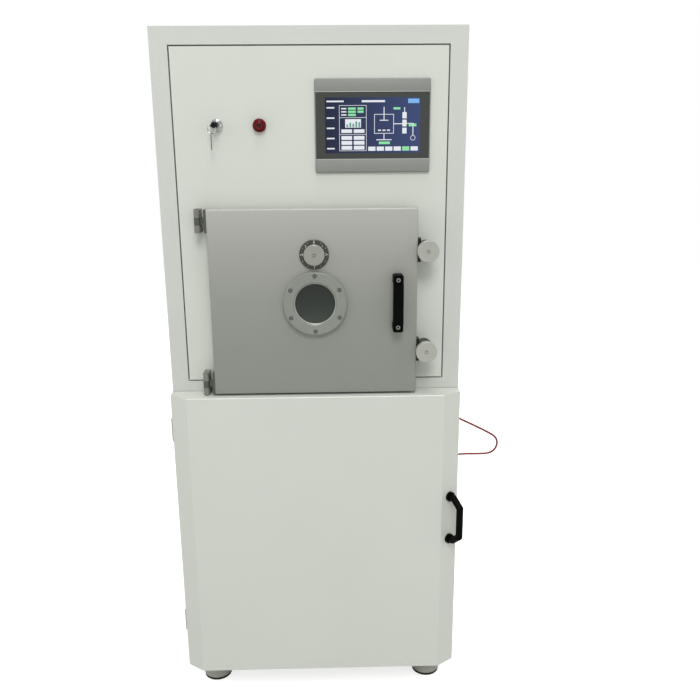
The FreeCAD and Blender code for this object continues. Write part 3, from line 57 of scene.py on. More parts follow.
lens = bpy.data.cameras.new("camera")
lens.lens = LENS
lens.sensor_width = SENSOR
camera = bpy.data.objects.new("camera", lens)
bpy.context.scene.collection.objects.link(camera)
aim = Matrix.Rotation(-LOOK_RIGHT, 4, "Z") @ Matrix.Rotation(math.pi / 2 - LOOK_DOWN, 4, "X")
aim = aim @ Matrix.Rotation(-ROLL, 4, "Z")
camera.matrix_world = Matrix.Translation((CAMERA_X, FRONT - CAMERA_AWAY, CAMERA_Z)) @ aim
bpy.context.scene.camera = camera
bpy.context.scene.view_settings.view_transform = "Standard"


# Floor and light. A seamless white floor that the camera sees as white apart from the shadow, a wide
# soft lamp high in front, a smaller one overhead, one behind and weak ones at both sides.
def linear(colour):
    """A hex colour in sRGB as the linear colour that a shader takes."""
    parts = [int(colour[i:i + 2], 16) / 255 for i in (1, 3, 5)]
    return [c / 12.92 if c <= 0.04045 else ((c + 0.055) / 1.055) ** 2.4 for c in parts] + [1.0]


def add(tree, kind, links=(), **settings):
    """Adds a node: settings are its properties or input values, links join inputs to outputs."""
    node = tree.nodes.new(kind)
    for name, value in settings.items():
        if hasattr(node, name):
            setattr(node, name, value)
        else:
            node.inputs[name.replace("_", " ")].default_value = value
    for name, source in links:
        tree.links.new(node.inputs[name], source)
    return node


def new_material(name):
    """An empty node material and its tree."""
    material = bpy.data.materials.new(name)
    material.use_nodes = True
    material.node_tree.nodes.clear()
    return material, material.node_tree


world = bpy.data.worlds.new("hall")
bpy.context.scene.world = world
world.use_nodes = True
sky = world.node_tree
sky.nodes.clear()
rays = add(sky, "ShaderNodeLightPath")
seen = add(sky, "ShaderNodeMath", [(0, rays.outputs["Is Camera Ray"]),
                                   (1, rays.outputs["Is Transmission Ray"])], operation="MAXIMUM")
dim = add(sky, "ShaderNodeBackground", Color=linear("#F6F7F6"), Strength=0.56)
white = add(sky, "ShaderNodeBackground", Color=linear("#FFFFFF"), Strength=1.0)
mixed = add(sky, "ShaderNodeMixShader", [(0, seen.outputs[0]), (1, dim.outputs[0]),
                                         (2, white.outputs[0])])
add(sky, "ShaderNodeOutputWorld", [("Surface", mixed.outputs[0])])

FLOOR_SIZE = 14.0
bpy.ops.object.select_all(action="DESELECT")
bpy.ops.mesh.primitive_plane_add(size=FLOOR_SIZE, location=(0, 0, 0))
floor = bpy.context.object
floor.name = "floor"
floor_paint, tree = new_material("white_floor")
rays = add(tree, "ShaderNodeLightPath")
glow = add(tree, "ShaderNodeEmission", Color=linear("#FFFFFF"), Strength=0.72)
matt = add(tree, "ShaderNodeBsdfDiffuse", Color=linear("#D9D9D7"))
bright = add(tree, "ShaderNodeAddShader", [(0, glow.outputs[0]), (1, matt.outputs[0])])
shown = add(tree, "ShaderNodeMixShader", [(0, rays.outputs["Is Camera Ray"]), (1, matt.outputs[0]),
                                          (2, bright.outputs[0])])
add(tree, "ShaderNodeOutputMaterial", [("Surface", shown.outputs[0])])
floor.data.materials.append(floor_paint)

# Each lamp: its name, its place, what it points at, its width in metres and its power in watts.
LAMPS = (
    ("ceiling_lamp", (0.4, -6.0, 6.8), (0.0, -0.35, 1.0), 2.6, 246.0),
    ("overhead_lamp", (0.0, -1.1, 4.6), (0.0, -0.5, 1.2), 1.2, 26.0),
    ("left_lamp", (-2.6, -1.6, 2.0), (0.0, -0.2, 0.9), 1.8, 10.0),
    ("right_lamp", (2.7, -1.2, 1.9), (0.0, -0.2, 0.9), 1.8, 6.0),
    ("rear_lamp", (0.6, 3.4, 3.6), (0.0, 0.4, 1.0), 2.4, 60.0),
)
for name, place, target, size, power in LAMPS:
    light = bpy.data.lights.new(name, "AREA")
    light.size = size
    light.energy = power
    lamp = bpy.data.objects.new(name, light)
    lamp.location = place
    lamp.rotation_euler = (Vector(target) - Vector(place)).to_track_quat("-Z", "Y").to_euler()
    bpy.context.scene.collection.objects.link(lamp)


# Air tube. A length of 6 mm red polyurethane tube that leaves the side of the lower cabinet at
# one push-in fitting, loops out and goes back in at the other: the hand lays it, nothing ties it.
def principled(name, colour, roughness, metallic=0.0, **sockets):
    """A material with one Principled shader; returns the material, its tree and the shader."""
    material, tree = new_material(name)
    shader = add(tree, "ShaderNodeBsdfPrincipled", Base_Color=linear(colour), Roughness=roughness,
                 Metallic=metallic, **sockets)
    add(tree, "ShaderNodeOutputMaterial", [("Surface", shader.outputs[0])])
    return material, tree, shader


TUBE_RADIUS = 0.003
TUBE_DEPTH = sum(corner.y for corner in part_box("air_tube")) / 2
TUBE_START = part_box("air_tube")[0].x
TUBE_POINTS = ((TUBE_START, 0.706), (0.396, 0.704), (0.425, 0.686), (0.466, 0.666), (0.504, 0.646),
               (0.5352, 0.6277), (0.5428, 0.6072), (0.5365, 0.5861), (0.519, 0.573), (0.484, 0.5715),
               (0.442, 0.5725), (0.405, 0.5695), (TUBE_START, 0.570))

curve = bpy.data.curves.new("air_line", "CURVE")
curve.dimensions = "3D"
curve.bevel_depth = TUBE_RADIUS
curve.bevel_resolution = 5
curve.use_fill_caps = True
spline = curve.splines.new("NURBS")
spline.points.add(len(TUBE_POINTS) - 1)
for point, (x, z) in zip(spline.points, TUBE_POINTS):
    point.co = (x, TUBE_DEPTH, z, 1.0)
spline.order_u = 3
spline.use_endpoint_u = True
spline.resolution_u = 12
air_line = bpy.data.objects.new("air_line", curve)
bpy.context.scene.collection.objects.link(air_line)
tube_red = principled("red_polyurethane_tube", "#8C1420", roughness=0.36, Specular_IOR_Level=0.5,
                      Coat_Weight=0.2)[0]
curve.materials.append(tube_red)
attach(air_line, "cabinet")
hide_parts("air_tube")


# Powder-coated skins. Folded 1.5 mm sheet steel, sprayed with white polyester powder and baked. The
# skin is satin with a faint orange peel, and its white is a little green and not quite even.
def paint(material, *names):
    """Gives CAD nodes a material in place of their plain one."""
    for name in names:
        slots = nodes[name].data.materials
        slots.clear()
        slots.append(material)


def relief(tree, shader, where, grain, depth):
    """A fine grain in a finish's surface; grain and depth are in millimetres."""
    fine = add(tree, "ShaderNodeTexNoise", [("Vector", where)], Scale=1000 / grain, Detail=3.0)
    bump = add(tree, "ShaderNodeBump", [("Height", fine.outputs[0])], Strength=1.0,
               Distance=depth / 1000)
    tree.links.new(shader.inputs["Normal"], bump.outputs[0])


def grained(name, tones, patch, grain, depth, roughness, metallic=0.0, stretch=(1, 1, 1), **sockets):
    """A finish whose colour drifts between two tones over patches and whose surface has a fine grain.
    patch, grain and depth are in millimetres; stretch draws the grain out along an axis."""
    material, tree, shader = principled(name, tones[0], roughness, metallic, **sockets)
    where = add(tree, "ShaderNodeTexCoord").outputs["Object"]
    drawn = add(tree, "ShaderNodeMapping", [("Vector", where)], Scale=stretch).outputs[0]
    drift = add(tree, "ShaderNodeTexNoise", [("Vector", where)], Scale=1000 / patch, Detail=2.0)
    colour = add(tree, "ShaderNodeMixRGB", [("Fac", drift.outputs[0])],
                 Color1=linear(tones[0]), Color2=linear(tones[1]))
    tree.links.new(shader.inputs["Base Color"], colour.outputs[0])
    relief(tree, shader, drawn, grain, depth)
    return material


# The peel of a real coat repeats every 1 to 2 mm; it is drawn at 4 mm, so that it shows at all.
# The skins behind the inset panel and the door are a shade darker.
powder = grained("white_polyester_powder_coat", ("#D8DBD3", "#D2D5CD"), patch=260, grain=4.0,
                 depth=0.02, roughness=0.42)
paint(powder, "front_panel", "lower_door")
shell_coat = grained("white_powder_coat_shell", ("#D1D4CE", "#CCCFC9"), patch=260, grain=4.0,
                     depth=0.02, roughness=0.44)
paint(shell_coat, "upper_shell", "upper_rear_panel", "lower_left_panel", "lower_right_panel",
      "lower_rear_panel")


# Base frame and trays. Angle steel welded to a frame and painted grey inside the skins; the tray and
# the deck that carries the chamber are bare galvanised sheet with its soft spangle.
frame_enamel = grained("grey_frame_enamel", ("#6B6F72", "#62676B"), patch=120, grain=3.0, depth=0.02,
                       roughness=0.45)
paint(frame_enamel, "lower_frame", "chamber_mounts")
galvanised = grained("galvanised_sheet", ("#A9ADAE", "#94999B"), patch=14, grain=6.0, depth=0.01,
                     roughness=0.38, metallic=0.85)
paint(galvanised, "base_tray", "deck_plate")


# Levelling feet. Moulded nylon cups in light grey with a black rubber sole, on zinc-plated M16 studs
# that screw into the frame; the cup's skirt is what shows under the door.
nylon = grained("light_grey_moulded_nylon", ("#B9BBB0", "#AFB1A6"), patch=30, grain=1.5, depth=0.02,
                roughness=0.5)
paint(nylon, "foot_cups")
rubber = grained("black_rubber", ("#1B1C1B", "#232422"), patch=12, grain=1.0, depth=0.03,
                 roughness=0.75)
paint(rubber, "foot_pads", "door_seal")
zinc = grained("bright_zinc_plate", ("#B4B6B4", "#A2A5A4"), patch=10, grain=0.8, depth=0.004,
               roughness=0.3, metallic=1.0)
paint(zinc, "foot_studs", "lower_hinge_fixed", "lower_door_hinge_leaves", "upper_clamp_washer",
      "lower_clamp_washer")


# Touch panel. A grey moulded ABS bezel with a raised band above and below; between them a dark film
# is laid over the glass, open in front of the picture. Pale strips at the seams between film and bands
# are a painted highlight.
SMOOTH = math.radians(40)


def round_edges(piece, width, steps):
    """Rounds over the edges of the piece that is active."""
    bevel = piece.modifiers.new("edge", "BEVEL")
    bevel.width = width
    bevel.segments = steps
    bpy.ops.object.modifier_apply(modifier="edge")


def slab(name, low, high, edge=0.0):
    """A plate between two corners, its edges rounded over, with its place in its mesh."""
    size = [b - a for a, b in zip(low, high)]
    middle = [(a + b) / 2 for a, b in zip(low, high)]
    bpy.ops.object.select_all(action="DESELECT")
    bpy.ops.mesh.primitive_cube_add(size=1.0, location=middle, scale=size)
    piece = bpy.context.object
    piece.name = name
    bpy.ops.object.transform_apply(location=True, rotation=True, scale=True)
    if edge:
        round_edges(piece, edge, 2)
        bpy.ops.object.shade_smooth_by_angle(angle=SMOOTH)
    return piece


def fit(piece, material, body):
    """Gives the piece its material and hangs it on the body that carries it."""
    piece.data.materials.clear()
    piece.data.materials.append(material)
    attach(piece, body)


def merged(name, pieces):
    """Several pieces as one object."""
    bpy.ops.object.select_all(action="DESELECT")
    for piece in pieces:
        piece.select_set(True)
    bpy.context.view_layer.objects.active = pieces[0]
    if len(pieces) > 1:
        bpy.ops.object.join()
    pieces[0].name = name
    return pieces[0]


bezel_plastic = grained("light_grey_moulded_abs", ("#8E918B", "#888B86"), patch=90, grain=1.5,
                        depth=0.015, roughness=0.48)
paint(bezel_plastic, "hmi_bezel")
film_black = grained("dark_grey_panel_film", ("#434643", "#3F4240"), patch=60, grain=1.0, depth=0.004,
                     roughness=0.42, Specular_IOR_Level=0.3)
seam_painted_highlight = grained("painted_highlight_grey_edge", ("#CFD2CB", "#C4C7C0"), patch=30, grain=1.0, depth=0.004,
                    roughness=0.4)

BAND_TOP = 0.0292
BAND_FOOT = 0.0308
BAND_SIDE_IN = 0.0012
BAND_END_IN = 0.0022
BAND_PROUD = 0.0012
BAND_SUNK = 0.001
BAND_ROUND = 0.0007
SEAM = 0.0011
SEAM_SIDE_IN = 0.0024
FILM_SIDE_IN = 0.0024
FILM_GAP = 0.0006
FILM_PROUD = 0.0003
FILM_SUNK = 0.0005
glass_low, glass_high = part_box("hmi_screen")
bezel_low, bezel_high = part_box("hmi_bezel")
FACE = bezel_low.y

bands = []
for low_z, high_z in ((bezel_high.z - BAND_TOP, bezel_high.z - BAND_END_IN),
                      (bezel_low.z + BAND_END_IN, bezel_low.z + BAND_FOOT)):
    bands.append(slab("band", (bezel_low.x + BAND_SIDE_IN, FACE - BAND_PROUD, low_z),
                      (bezel_high.x - BAND_SIDE_IN, FACE + BAND_SUNK, high_z), BAND_ROUND))
fit(merged("touch_panel_bands", bands), bezel_plastic, "cabinet")

# The pale seam strips are a painted highlight along the bands' edges.
seams = []
for z in (bezel_high.z - BAND_TOP - SEAM, bezel_low.z + BAND_FOOT):
    seams.append(slab("seam", (bezel_low.x + SEAM_SIDE_IN, FACE - BAND_PROUD, z),
                      (bezel_high.x - SEAM_SIDE_IN, FACE, z + SEAM)))
fit(merged("touch_panel_seams", seams), seam_painted_highlight, "cabinet")

film_left, film_right = bezel_low.x + FILM_SIDE_IN, bezel_high.x - FILM_SIDE_IN
film_foot = bezel_low.z + BAND_FOOT + FILM_GAP
film_top = bezel_high.z - BAND_TOP - FILM_GAP
STRIPS = (
    (film_left, film_right, glass_high.z, film_top),
    (film_left, film_right, film_foot, glass_low.z),
    (film_left, glass_low.x, glass_low.z, glass_high.z),
    (glass_high.x, film_right, glass_low.z, glass_high.z),
)
film = [slab("film", (x0, FACE - FILM_PROUD, z0), (x1, FACE + FILM_SUNK, z1))
        for x0, x1, z0, z1 in STRIPS]
fit(merged("touch_panel_film", film), film_black, "cabinet")


# Operator screen. A liquid crystal behind glass, lit from behind, showing a made-up mimic of a vacuum
# plant: menu bars, value fields and buttons at the left, vessel, pipes and pumps at the right.
GLASS_TONE = "#05070C"
GLASS_GLOSS = 0.12
GLASS_IOR = 1.52
MM = 0.001
PICTURE_PROUD = 0.00012


def lit(name, colour, strength):
    """Glass that shows one colour of the lit picture."""
    return principled(name, GLASS_TONE, GLASS_GLOSS, Emission_Color=linear(colour),
                      Emission_Strength=strength, IOR=GLASS_IOR)[0]


def field(x0, z0, x1, z1, layer=1):
    """A flat patch of the picture, placed in millimetres from the picture's lower left corner."""
    bpy.ops.object.select_all(action="DESELECT")
    middle = (glass_low.x + (x0 + x1) / 2 * MM, FACE - layer * PICTURE_PROUD,
              glass_low.z + (z0 + z1) / 2 * MM)
    bpy.ops.mesh.primitive_plane_add(size=1.0, location=middle, rotation=(math.pi / 2, 0, 0))
    patch = bpy.context.object
    patch.scale = ((x1 - x0) * MM, (z1 - z0) * MM, 1)
    bpy.ops.object.transform_apply(location=True, rotation=True, scale=True)
    return patch


def frame_lines(x0, z0, x1, z1, width=1.0):
    """The outline of a box in the picture."""
    return [field(x0, z0, x1, z0 + width), field(x0, z1 - width, x1, z1),
            field(x0, z0 + width, x0 + width, z1 - width), field(x1 - width, z0 + width, x1, z1 - width)]


def ring(x, z, radius, width=1.1):
    """A circle line in the picture."""
    bpy.ops.object.select_all(action="DESELECT")
    middle = (glass_low.x + x * MM, FACE - PICTURE_PROUD, glass_low.z + z * MM)
    bpy.ops.mesh.primitive_circle_add(vertices=32, radius=radius * MM, fill_type="NGON", location=middle,
                                      rotation=(math.pi / 2, 0, 0))
    circle = bpy.context.object
    bpy.ops.object.transform_apply(location=True, rotation=True, scale=True)
    bpy.ops.object.mode_set(mode="EDIT")
    bpy.ops.mesh.select_all(action="SELECT")
    bpy.ops.mesh.inset(thickness=width * MM, use_boundary=True)
    bpy.ops.mesh.delete(type="FACE")
    bpy.ops.object.mode_set(mode="OBJECT")
    return circle


screen_blue, tree, shader = principled("lit_screen_glass", GLASS_TONE, GLASS_GLOSS,
                                       Emission_Strength=0.8, IOR=GLASS_IOR)
where = add(tree, "ShaderNodeTexCoord").outputs["Object"]
parts = add(tree, "ShaderNodeSeparateXYZ", [("Vector", where)])
across = add(tree, "ShaderNodeMapRange", [("Value", parts.outputs["X"])], From_Min=glass_low.x,
             From_Max=glass_high.x)
fade = add(tree, "ShaderNodeMixRGB", [("Fac", across.outputs[0])], Color1=linear("#10183A"),
           Color2=linear("#3A4B7C"))
tree.links.new(shader.inputs["Emission Color"], fade.outputs[0])
paint(screen_blue, "hmi_screen")

left_box = frame_lines(33, 5, 97, 108) + [field(34, 80, 96, 81), field(34, 42, 96, 43)]
menu_keys = [field(4, z, 22, z + 3.2) for z in (9, 32, 55, 78, 101)]
title_bars = [field(4, 115, 44, 118.5), field(86, 114.5, 140, 119)]
value_names = [field(38, z, 50, z + 3) for z in (99, 92, 85)]
buttons = [field(x, z, x + 25, z + 8.6) for z in (8, 19.2, 30.4) for x in (38, 67)]
plot = [field(38, 46, 63, 54), field(67, 46, 92, 54), field(47, 58, 84, 77)]
foot_keys = [field(101 + 20 * i, 5, 118 + 20 * i, 14.5) for i in (0, 1, 2, 3, 5)]
vessel = frame_lines(115, 44, 161, 88, 1.3)
pumps = [ring(206, 34, 6), field(181, 78, 191, 92), field(181, 60, 191, 75), field(181, 44, 191, 57)]
stage = [field(137, 89, 139, 104), field(128, 73, 148, 75), field(137, 75, 139, 89)]
heads = [field(x, 50, x + 7, 53) for x in (124, 134.5, 145)]
pipes = [field(161, 65, 181, 67), field(191, 66, 208, 67.5), field(205, 40, 207, 66),
         field(185, 92, 187, 103), field(137, 30, 139, 43.5), field(120, 29, 156, 31)]
white_marks = merged("screen_white_marks", left_box + menu_keys + title_bars + value_names + buttons
                     + plot + foot_keys + vessel + pumps + stage + heads + pipes)
fit(white_marks, lit("lit_white_marks", "#E9EDF4", 0.95), "cabinet")
values = [field(54, z, 72, z + 5) for z in (98, 91, 84)] + [field(76, z, 90, z + 5) for z in (98, 91)]
states = [field(160, 98, 176, 103), field(196, 60, 214, 66), field(126, 20, 152, 26),
          field(181, 5, 198, 14.5)]
green_marks = merged("screen_green_marks", values + states)
fit(green_marks, lit("lit_green_marks", "#8FE3A8", 0.95), "cabinet")
blue_marks = merged("screen_blue_mark", [field(194, 112, 220, 122)])
fit(blue_marks, lit("lit_blue_mark", "#7DB6EE", 0.95), "cabinet")
BAR_HEIGHTS = (6, 10, 8, 13, 11)
bars = [field(50 + 7 * i, 59, 54 + 7 * i, 59 + tall, 2) for i, tall in enumerate(BAR_HEIGHTS)]
bars = merged("screen_bar_marks", bars)
fit(bars, lit("lit_teal_marks", "#5FA79A", 0.8), "cabinet")


# Key switch. A chromed zinc barrel with a bevelled collar, nutted behind the panel. The key in it has a
# round black moulded head; a wire ring through its side carries the spare key, which hangs edge-on.
def front_middle(name):
    """The middle of the front of a node's box."""
    low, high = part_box(name)
    return Vector(((low.x + high.x) / 2, low.y, (low.z + high.z) / 2))


def set_down(piece, middle, axis):
    """Turns a piece's mesh from the Z axis to another axis, then moves it to its place."""
    turn = Vector((0, 0, 1)).rotation_difference(Vector(axis)).to_matrix().to_4x4()
    piece.data.transform(Matrix.Translation(middle) @ turn)


def turned_disc(name, middle, radius, depth, edge=0.0, axis=(0, 1, 0)):
    """A disc about an axis, its edges rounded over, with its place in its mesh."""
    bpy.ops.object.select_all(action="DESELECT")
    bpy.ops.mesh.primitive_cylinder_add(vertices=48, radius=radius, depth=depth, location=(0, 0, 0))
    disc = bpy.context.object
    disc.name = name
    if edge:
        round_edges(disc, edge, 3)
    bpy.ops.object.shade_smooth_by_angle(angle=SMOOTH)
    set_down(disc, middle, axis)
    return disc


def wire_ring(name, middle, radius, wire, axis=(0, 1, 0)):
    """A ring of round wire about an axis, with its place in its mesh."""
    bpy.ops.object.select_all(action="DESELECT")
    bpy.ops.mesh.primitive_torus_add(major_radius=radius, minor_radius=wire, major_segments=48,
                                     minor_segments=12)
    loop = bpy.context.object
    loop.name = name
    bpy.ops.object.shade_smooth()
    set_down(loop, middle, axis)
    return loop


chrome = grained("polished_chrome_plate", ("#D6D9D8", "#C9CCCB"), patch=20, grain=2.0, depth=0.001,
                 roughness=0.16, metallic=1.0)
paint(chrome, "key_switch")
steel_key = grained("nickel_plated_brass", ("#8E8F89", "#7E7F79"), patch=6, grain=0.6, depth=0.003,
                    roughness=0.34, metallic=0.9)
head_plastic = grained("black_moulded_key_head", ("#060706", "#0A0B0A"), patch=8, grain=0.8,
                       depth=0.006, roughness=0.3, Specular_IOR_Level=0.3)

# Places are given from the middle of the barrel's front.
COLLAR_AT, COLLAR_RADIUS, COLLAR_WIRE = Vector((0, 0.0103, 0.0012)), 0.0132, 0.0018
HEAD_AT, HEAD_RADIUS, HEAD_DEPTH, HEAD_ROUND = Vector((-0.0022, -0.0085, 0.0026)), 0.0076, 0.016, 0.0032
LUG_AT, LUG_RADIUS, LUG_DEPTH, LUG_ROUND = Vector((-0.0078, -0.0115, 0.0008)), 0.0036, 0.006, 0.0015
RING_AT, RING_RADIUS, RING_WIRE = Vector((-0.0084, -0.0118, -0.0066)), 0.0100, 0.0011
RING_AXIS = (0.3, 1.0, 0.1)
BOW_AT, BOW_RADIUS, BOW_DEPTH, BOW_ROUND = Vector((-0.0104, -0.0118, -0.0210)), 0.0075, 0.0020, 0.0005
BOW_AXIS = (1.0, 0.12, 0.0)
BLADE_LOW, BLADE_HIGH = Vector((-0.0113, -0.0148, -0.0538)), Vector((-0.0095, -0.0088, -0.0268))
BLADE_ROUND = 0.0003

barrel = front_middle("key_switch")
collar = wire_ring("key_switch_washer", barrel + COLLAR_AT, COLLAR_RADIUS, COLLAR_WIRE)
fit(collar, chrome, "cabinet")
head = turned_disc("head", barrel + HEAD_AT, HEAD_RADIUS, HEAD_DEPTH, HEAD_ROUND)
lug = turned_disc("lug", barrel + LUG_AT, LUG_RADIUS, LUG_DEPTH, LUG_ROUND)
head = merged("key_head", [head, lug])
fit(head, head_plastic, "key")
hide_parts("key")
key_ring = wire_ring("key_ring", barrel + RING_AT, RING_RADIUS, RING_WIRE, RING_AXIS)
fit(key_ring, chrome, "key")
bow = turned_disc("bow", barrel + BOW_AT, BOW_RADIUS, BOW_DEPTH, BOW_ROUND, BOW_AXIS)
blade = slab("blade", barrel + BLADE_LOW, barrel + BLADE_HIGH, BLADE_ROUND)
fit(merged("spare_key", [bow, blade]), steel_key, "key")


# Alarm. A moulded red polycarbonate lens over a lamp and sounder, screwed on from behind the panel. It
# is dark while the lamp is off; a raised rib, its lighter red a painted highlight, and a dark ring of
# painted shade in the sounder's hole make rings in its face.
alarm_red = principled("dark_red_polycarbonate", "#5E0A13", roughness=0.32, IOR=1.5,
                       Specular_IOR_Level=0.15)[0]
paint(alarm_red, "alarm_lamp")
rib_painted_highlight = principled("painted_highlight_red_polycarbonate", "#7C1220", roughness=0.14, IOR=1.58)[0]
sounder_painted_shade = grained("painted_shade_sounder_hole", ("#1D0608", "#150405"), patch=6, grain=0.6, depth=0.004,
                    roughness=0.3)
RIB_AT, RIB_RADIUS, RIB_WIRE = Vector((0, 0.0004, 0)), 0.0066, 0.0009
HOLE_AT, HOLE_RADIUS, HOLE_WIRE = Vector((0, 0.0002, 0)), 0.0030, 0.0014
alarm = front_middle("alarm_lamp")
# The rib's lighter red is a painted highlight; the near-black ring is painted shade in the sounder's
# hole.
rib = wire_ring("alarm_rib", alarm + RIB_AT, RIB_RADIUS, RIB_WIRE)
fit(rib, rib_painted_highlight, "cabinet")
hole = wire_ring("alarm_sounder_painted_shade", alarm + HOLE_AT, HOLE_RADIUS, HOLE_WIRE)
fit(hole, sounder_painted_shade, "cabinet")


# Vacuum chamber. Welded and glass-bead blasted stainless plate; inside it years of sputtered film
# leave the walls, shutters and shields dark and dull, so the viewport looks into the dark.
blasted = grained("bead_blasted_stainless_steel", ("#8F918D", "#868883"), patch=80, grain=1.2,
                  depth=0.01, roughness=0.42, metallic=1.0)
paint(blasted, "chamber_body", "magnetron_heads", "stage_feedthrough", "gas_panel", "clamp_sockets")
coated = grained("film_coated_stainless_steel", ("#4B4C49", "#3B3C3A"), patch=60, grain=2.0,
                 depth=0.01, roughness=0.5, metallic=0.9)
paint(coated, "substrate_stage", "shutter_blade", "target_shutter_1", "target_shutter_2",
      "target_shutter_3")
copper = grained("sputtered_copper_target", ("#B4704B", "#96583A"), patch=12, grain=1.5, depth=0.02,
                 roughness=0.35, metallic=1.0)
paint(copper, "target_discs")
machined = grained("machined_aluminium", ("#A6A8A5", "#9B9D9A"), patch=30, grain=0.8, depth=0.004,
                   roughness=0.34, metallic=1.0)
paint(machined, "shutter_actuators", "gate_valve", "turbo_pump", "vacuum_gauge")


# Equipment in the lower cabinet. Black painted supplies and motor, a blue-grey enamelled oil-sealed
# pump, and a bright steel bellows hose up to the turbo pump.
case_paint = grained("black_case_paint", ("#26282A", "#1F2123"), patch=50, grain=1.2, depth=0.03,
                     roughness=0.5)
paint(case_paint, "power_supplies", "stage_motor")
pump_enamel = grained("blue_grey_pump_enamel", ("#4E5C68", "#465460"), patch=60, grain=2.5, depth=0.03,
                      roughness=0.4)
paint(pump_enamel, "backing_pump")
bellows = grained("annealed_steel_bellows", ("#A8A9A5", "#9C9D99"), patch=30, grain=4.0, depth=0.3,
                  roughness=0.32, metallic=1.0, stretch=(0.2, 0.2, 1.0))
paint(bellows, "foreline_hose")


# Chamber door. A 30 mm aluminium plate, milled square and blasted matt; its grey is painted paler by a
# third from sill to lintel: painted shade towards the foot and painted light of the ceiling towards the
# top.
def shaded(name, low_z, high_z, tones, grain, depth, roughness, metallic=0.0, **sockets):
    """A finish whose tone goes from one colour to the next between two heights, with a fine grain."""
    material, tree, shader = principled(name, tones[0], roughness, metallic, **sockets)
    where = add(tree, "ShaderNodeTexCoord").outputs["Object"]
    height = add(tree, "ShaderNodeSeparateXYZ", [("Vector", where)]).outputs["Z"]
    rise = add(tree, "ShaderNodeMapRange", [("Value", height)], From_Min=low_z, From_Max=high_z)
    blend = add(tree, "ShaderNodeValToRGB", [("Fac", rise.outputs[0])])
    stops = blend.color_ramp.elements
    stops[0].color = linear(tones[0])
    stops[1].color = linear(tones[-1])
    for i, tone in enumerate(tones[1:-1], 1):
        stops.new(i / (len(tones) - 1)).color = linear(tone)
    tree.links.new(shader.inputs["Base Color"], blend.outputs[0])
    relief(tree, shader, where, grain, depth)
    return material


plate_low, plate_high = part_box("chamber_door")
# Painted light: the plate's grey runs from darker at the foot to paler at the top.
door_painted_light = shaded("blasted_aluminium_plate_painted_light", plate_low.z, plate_high.z,
                   ("#8D918A", "#90948C", "#979A92", "#A4A59F", "#B6B7B1"), grain=1.6, depth=0.01,
                   roughness=0.42, metallic=0.12)
paint(door_painted_light, "chamber_door")


# Viewport. A turned flange of stainless steel, faced bright, holds a disc of dark borosilicate glass
# against its seal with six small cap screws. The glass is painted lighter towards its foot, a painted
# reflection of the lit stage inside.
turned = grained("turned_stainless_steel", ("#989B94", "#90938C"), patch=40, grain=0.9, depth=0.004,
                 roughness=0.36, metallic=0.35)
paint(turned, "window_flange")
pane_low, pane_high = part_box("window_glass")
# Painted reflection: the glass is lighter at its foot and darker at its top.
glass = shaded("borosilicate_glass_painted_reflection", pane_low.z, pane_high.z,
               ("#575F56", "#404842", "#353C36", "#2C322C"), grain=8.0, depth=0.001, roughness=0.06,
               IOR=1.47, Transmission_Weight=0.45)
paint(glass, "window_glass")
retainer_painted_highlight = grained("painted_highlight_turned_edge", ("#CFD1CB", "#C2C4BE"), patch=20, grain=0.8, depth=0.002,
                      roughness=0.28, metallic=0.3)
counterbore_painted_shadow = grained("shadowed_counterbore_edge", ("#4A4C47", "#3F413D"), patch=10, grain=0.8,
                    depth=0.002, roughness=0.5)
stainless_screw = grained("stainless_cap_screw", ("#9C9F98", "#8B8E87"), patch=8, grain=0.7,
                          depth=0.003, roughness=0.36, metallic=0.4)
paint(stainless_screw, "door_screws")

RETAINER_AT, RETAINER_RADIUS, RETAINER_WIRE = Vector((0, -0.0010, 0)), 0.0501, 0.0011
CAP_SCREWS = 6
BOLT_RING = 0.068
RIM_RADIUS = 0.0041
RIM_WIRE = 0.0005
pane = front_middle("window_glass")
# The retaining ring's round edge catches the light, and its tone, paler than the flange, adds a painted
# highlight round the glass.
retainer = wire_ring("window_retaining_ring", pane + RETAINER_AT, RETAINER_RADIUS, RETAINER_WIRE)
fit(retainer, retainer_painted_highlight, "chamber_door")
flange_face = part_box("window_flange")[0].y
# A thin dark ring round each cap screw is painted shadow in its counterbore.
rims = []
for step in range(CAP_SCREWS):
    angle = step * math.tau / CAP_SCREWS
    place = Vector((pane.x + BOLT_RING * math.sin(angle), flange_face,
                    pane.z + BOLT_RING * math.cos(angle)))
    rims.append(wire_ring("rim", place, RIM_RADIUS, RIM_WIRE))
fit(merged("viewport_screw_shadow_rings", rims), counterbore_painted_shadow, "chamber_door")


# Shutter dial and knob. The dial is black anodised with its scale engraved and filled white, and the
# knob and the clamp knobs are turned from aluminium and clear anodised.
black_anodised = grained("black_anodised_aluminium", ("#54564F", "#4D4F49"), patch=20, grain=0.8,
                         depth=0.004, roughness=0.28, metallic=0.5)
paint(black_anodised, "shutter_dial")
clear_anodised = grained("clear_anodised_aluminium", ("#B9BBB3", "#B1B3AB"), patch=25, grain=0.7,
                         depth=0.004, roughness=0.34, metallic=0.3)
paint(clear_anodised, "upper_clamp_knob", "lower_clamp_knob")
knob_metal = grained("grey_anodised_aluminium", ("#A5A69E", "#9E9F97"), patch=25, grain=0.7,
                     depth=0.004, roughness=0.34, metallic=0.3)
paint(knob_metal, "shutter_knob")
engraving = grained("white_engraving_paint", ("#E6E7E1", "#DCDDD7"), patch=10, grain=1.0, depth=0.002,
                    roughness=0.5)

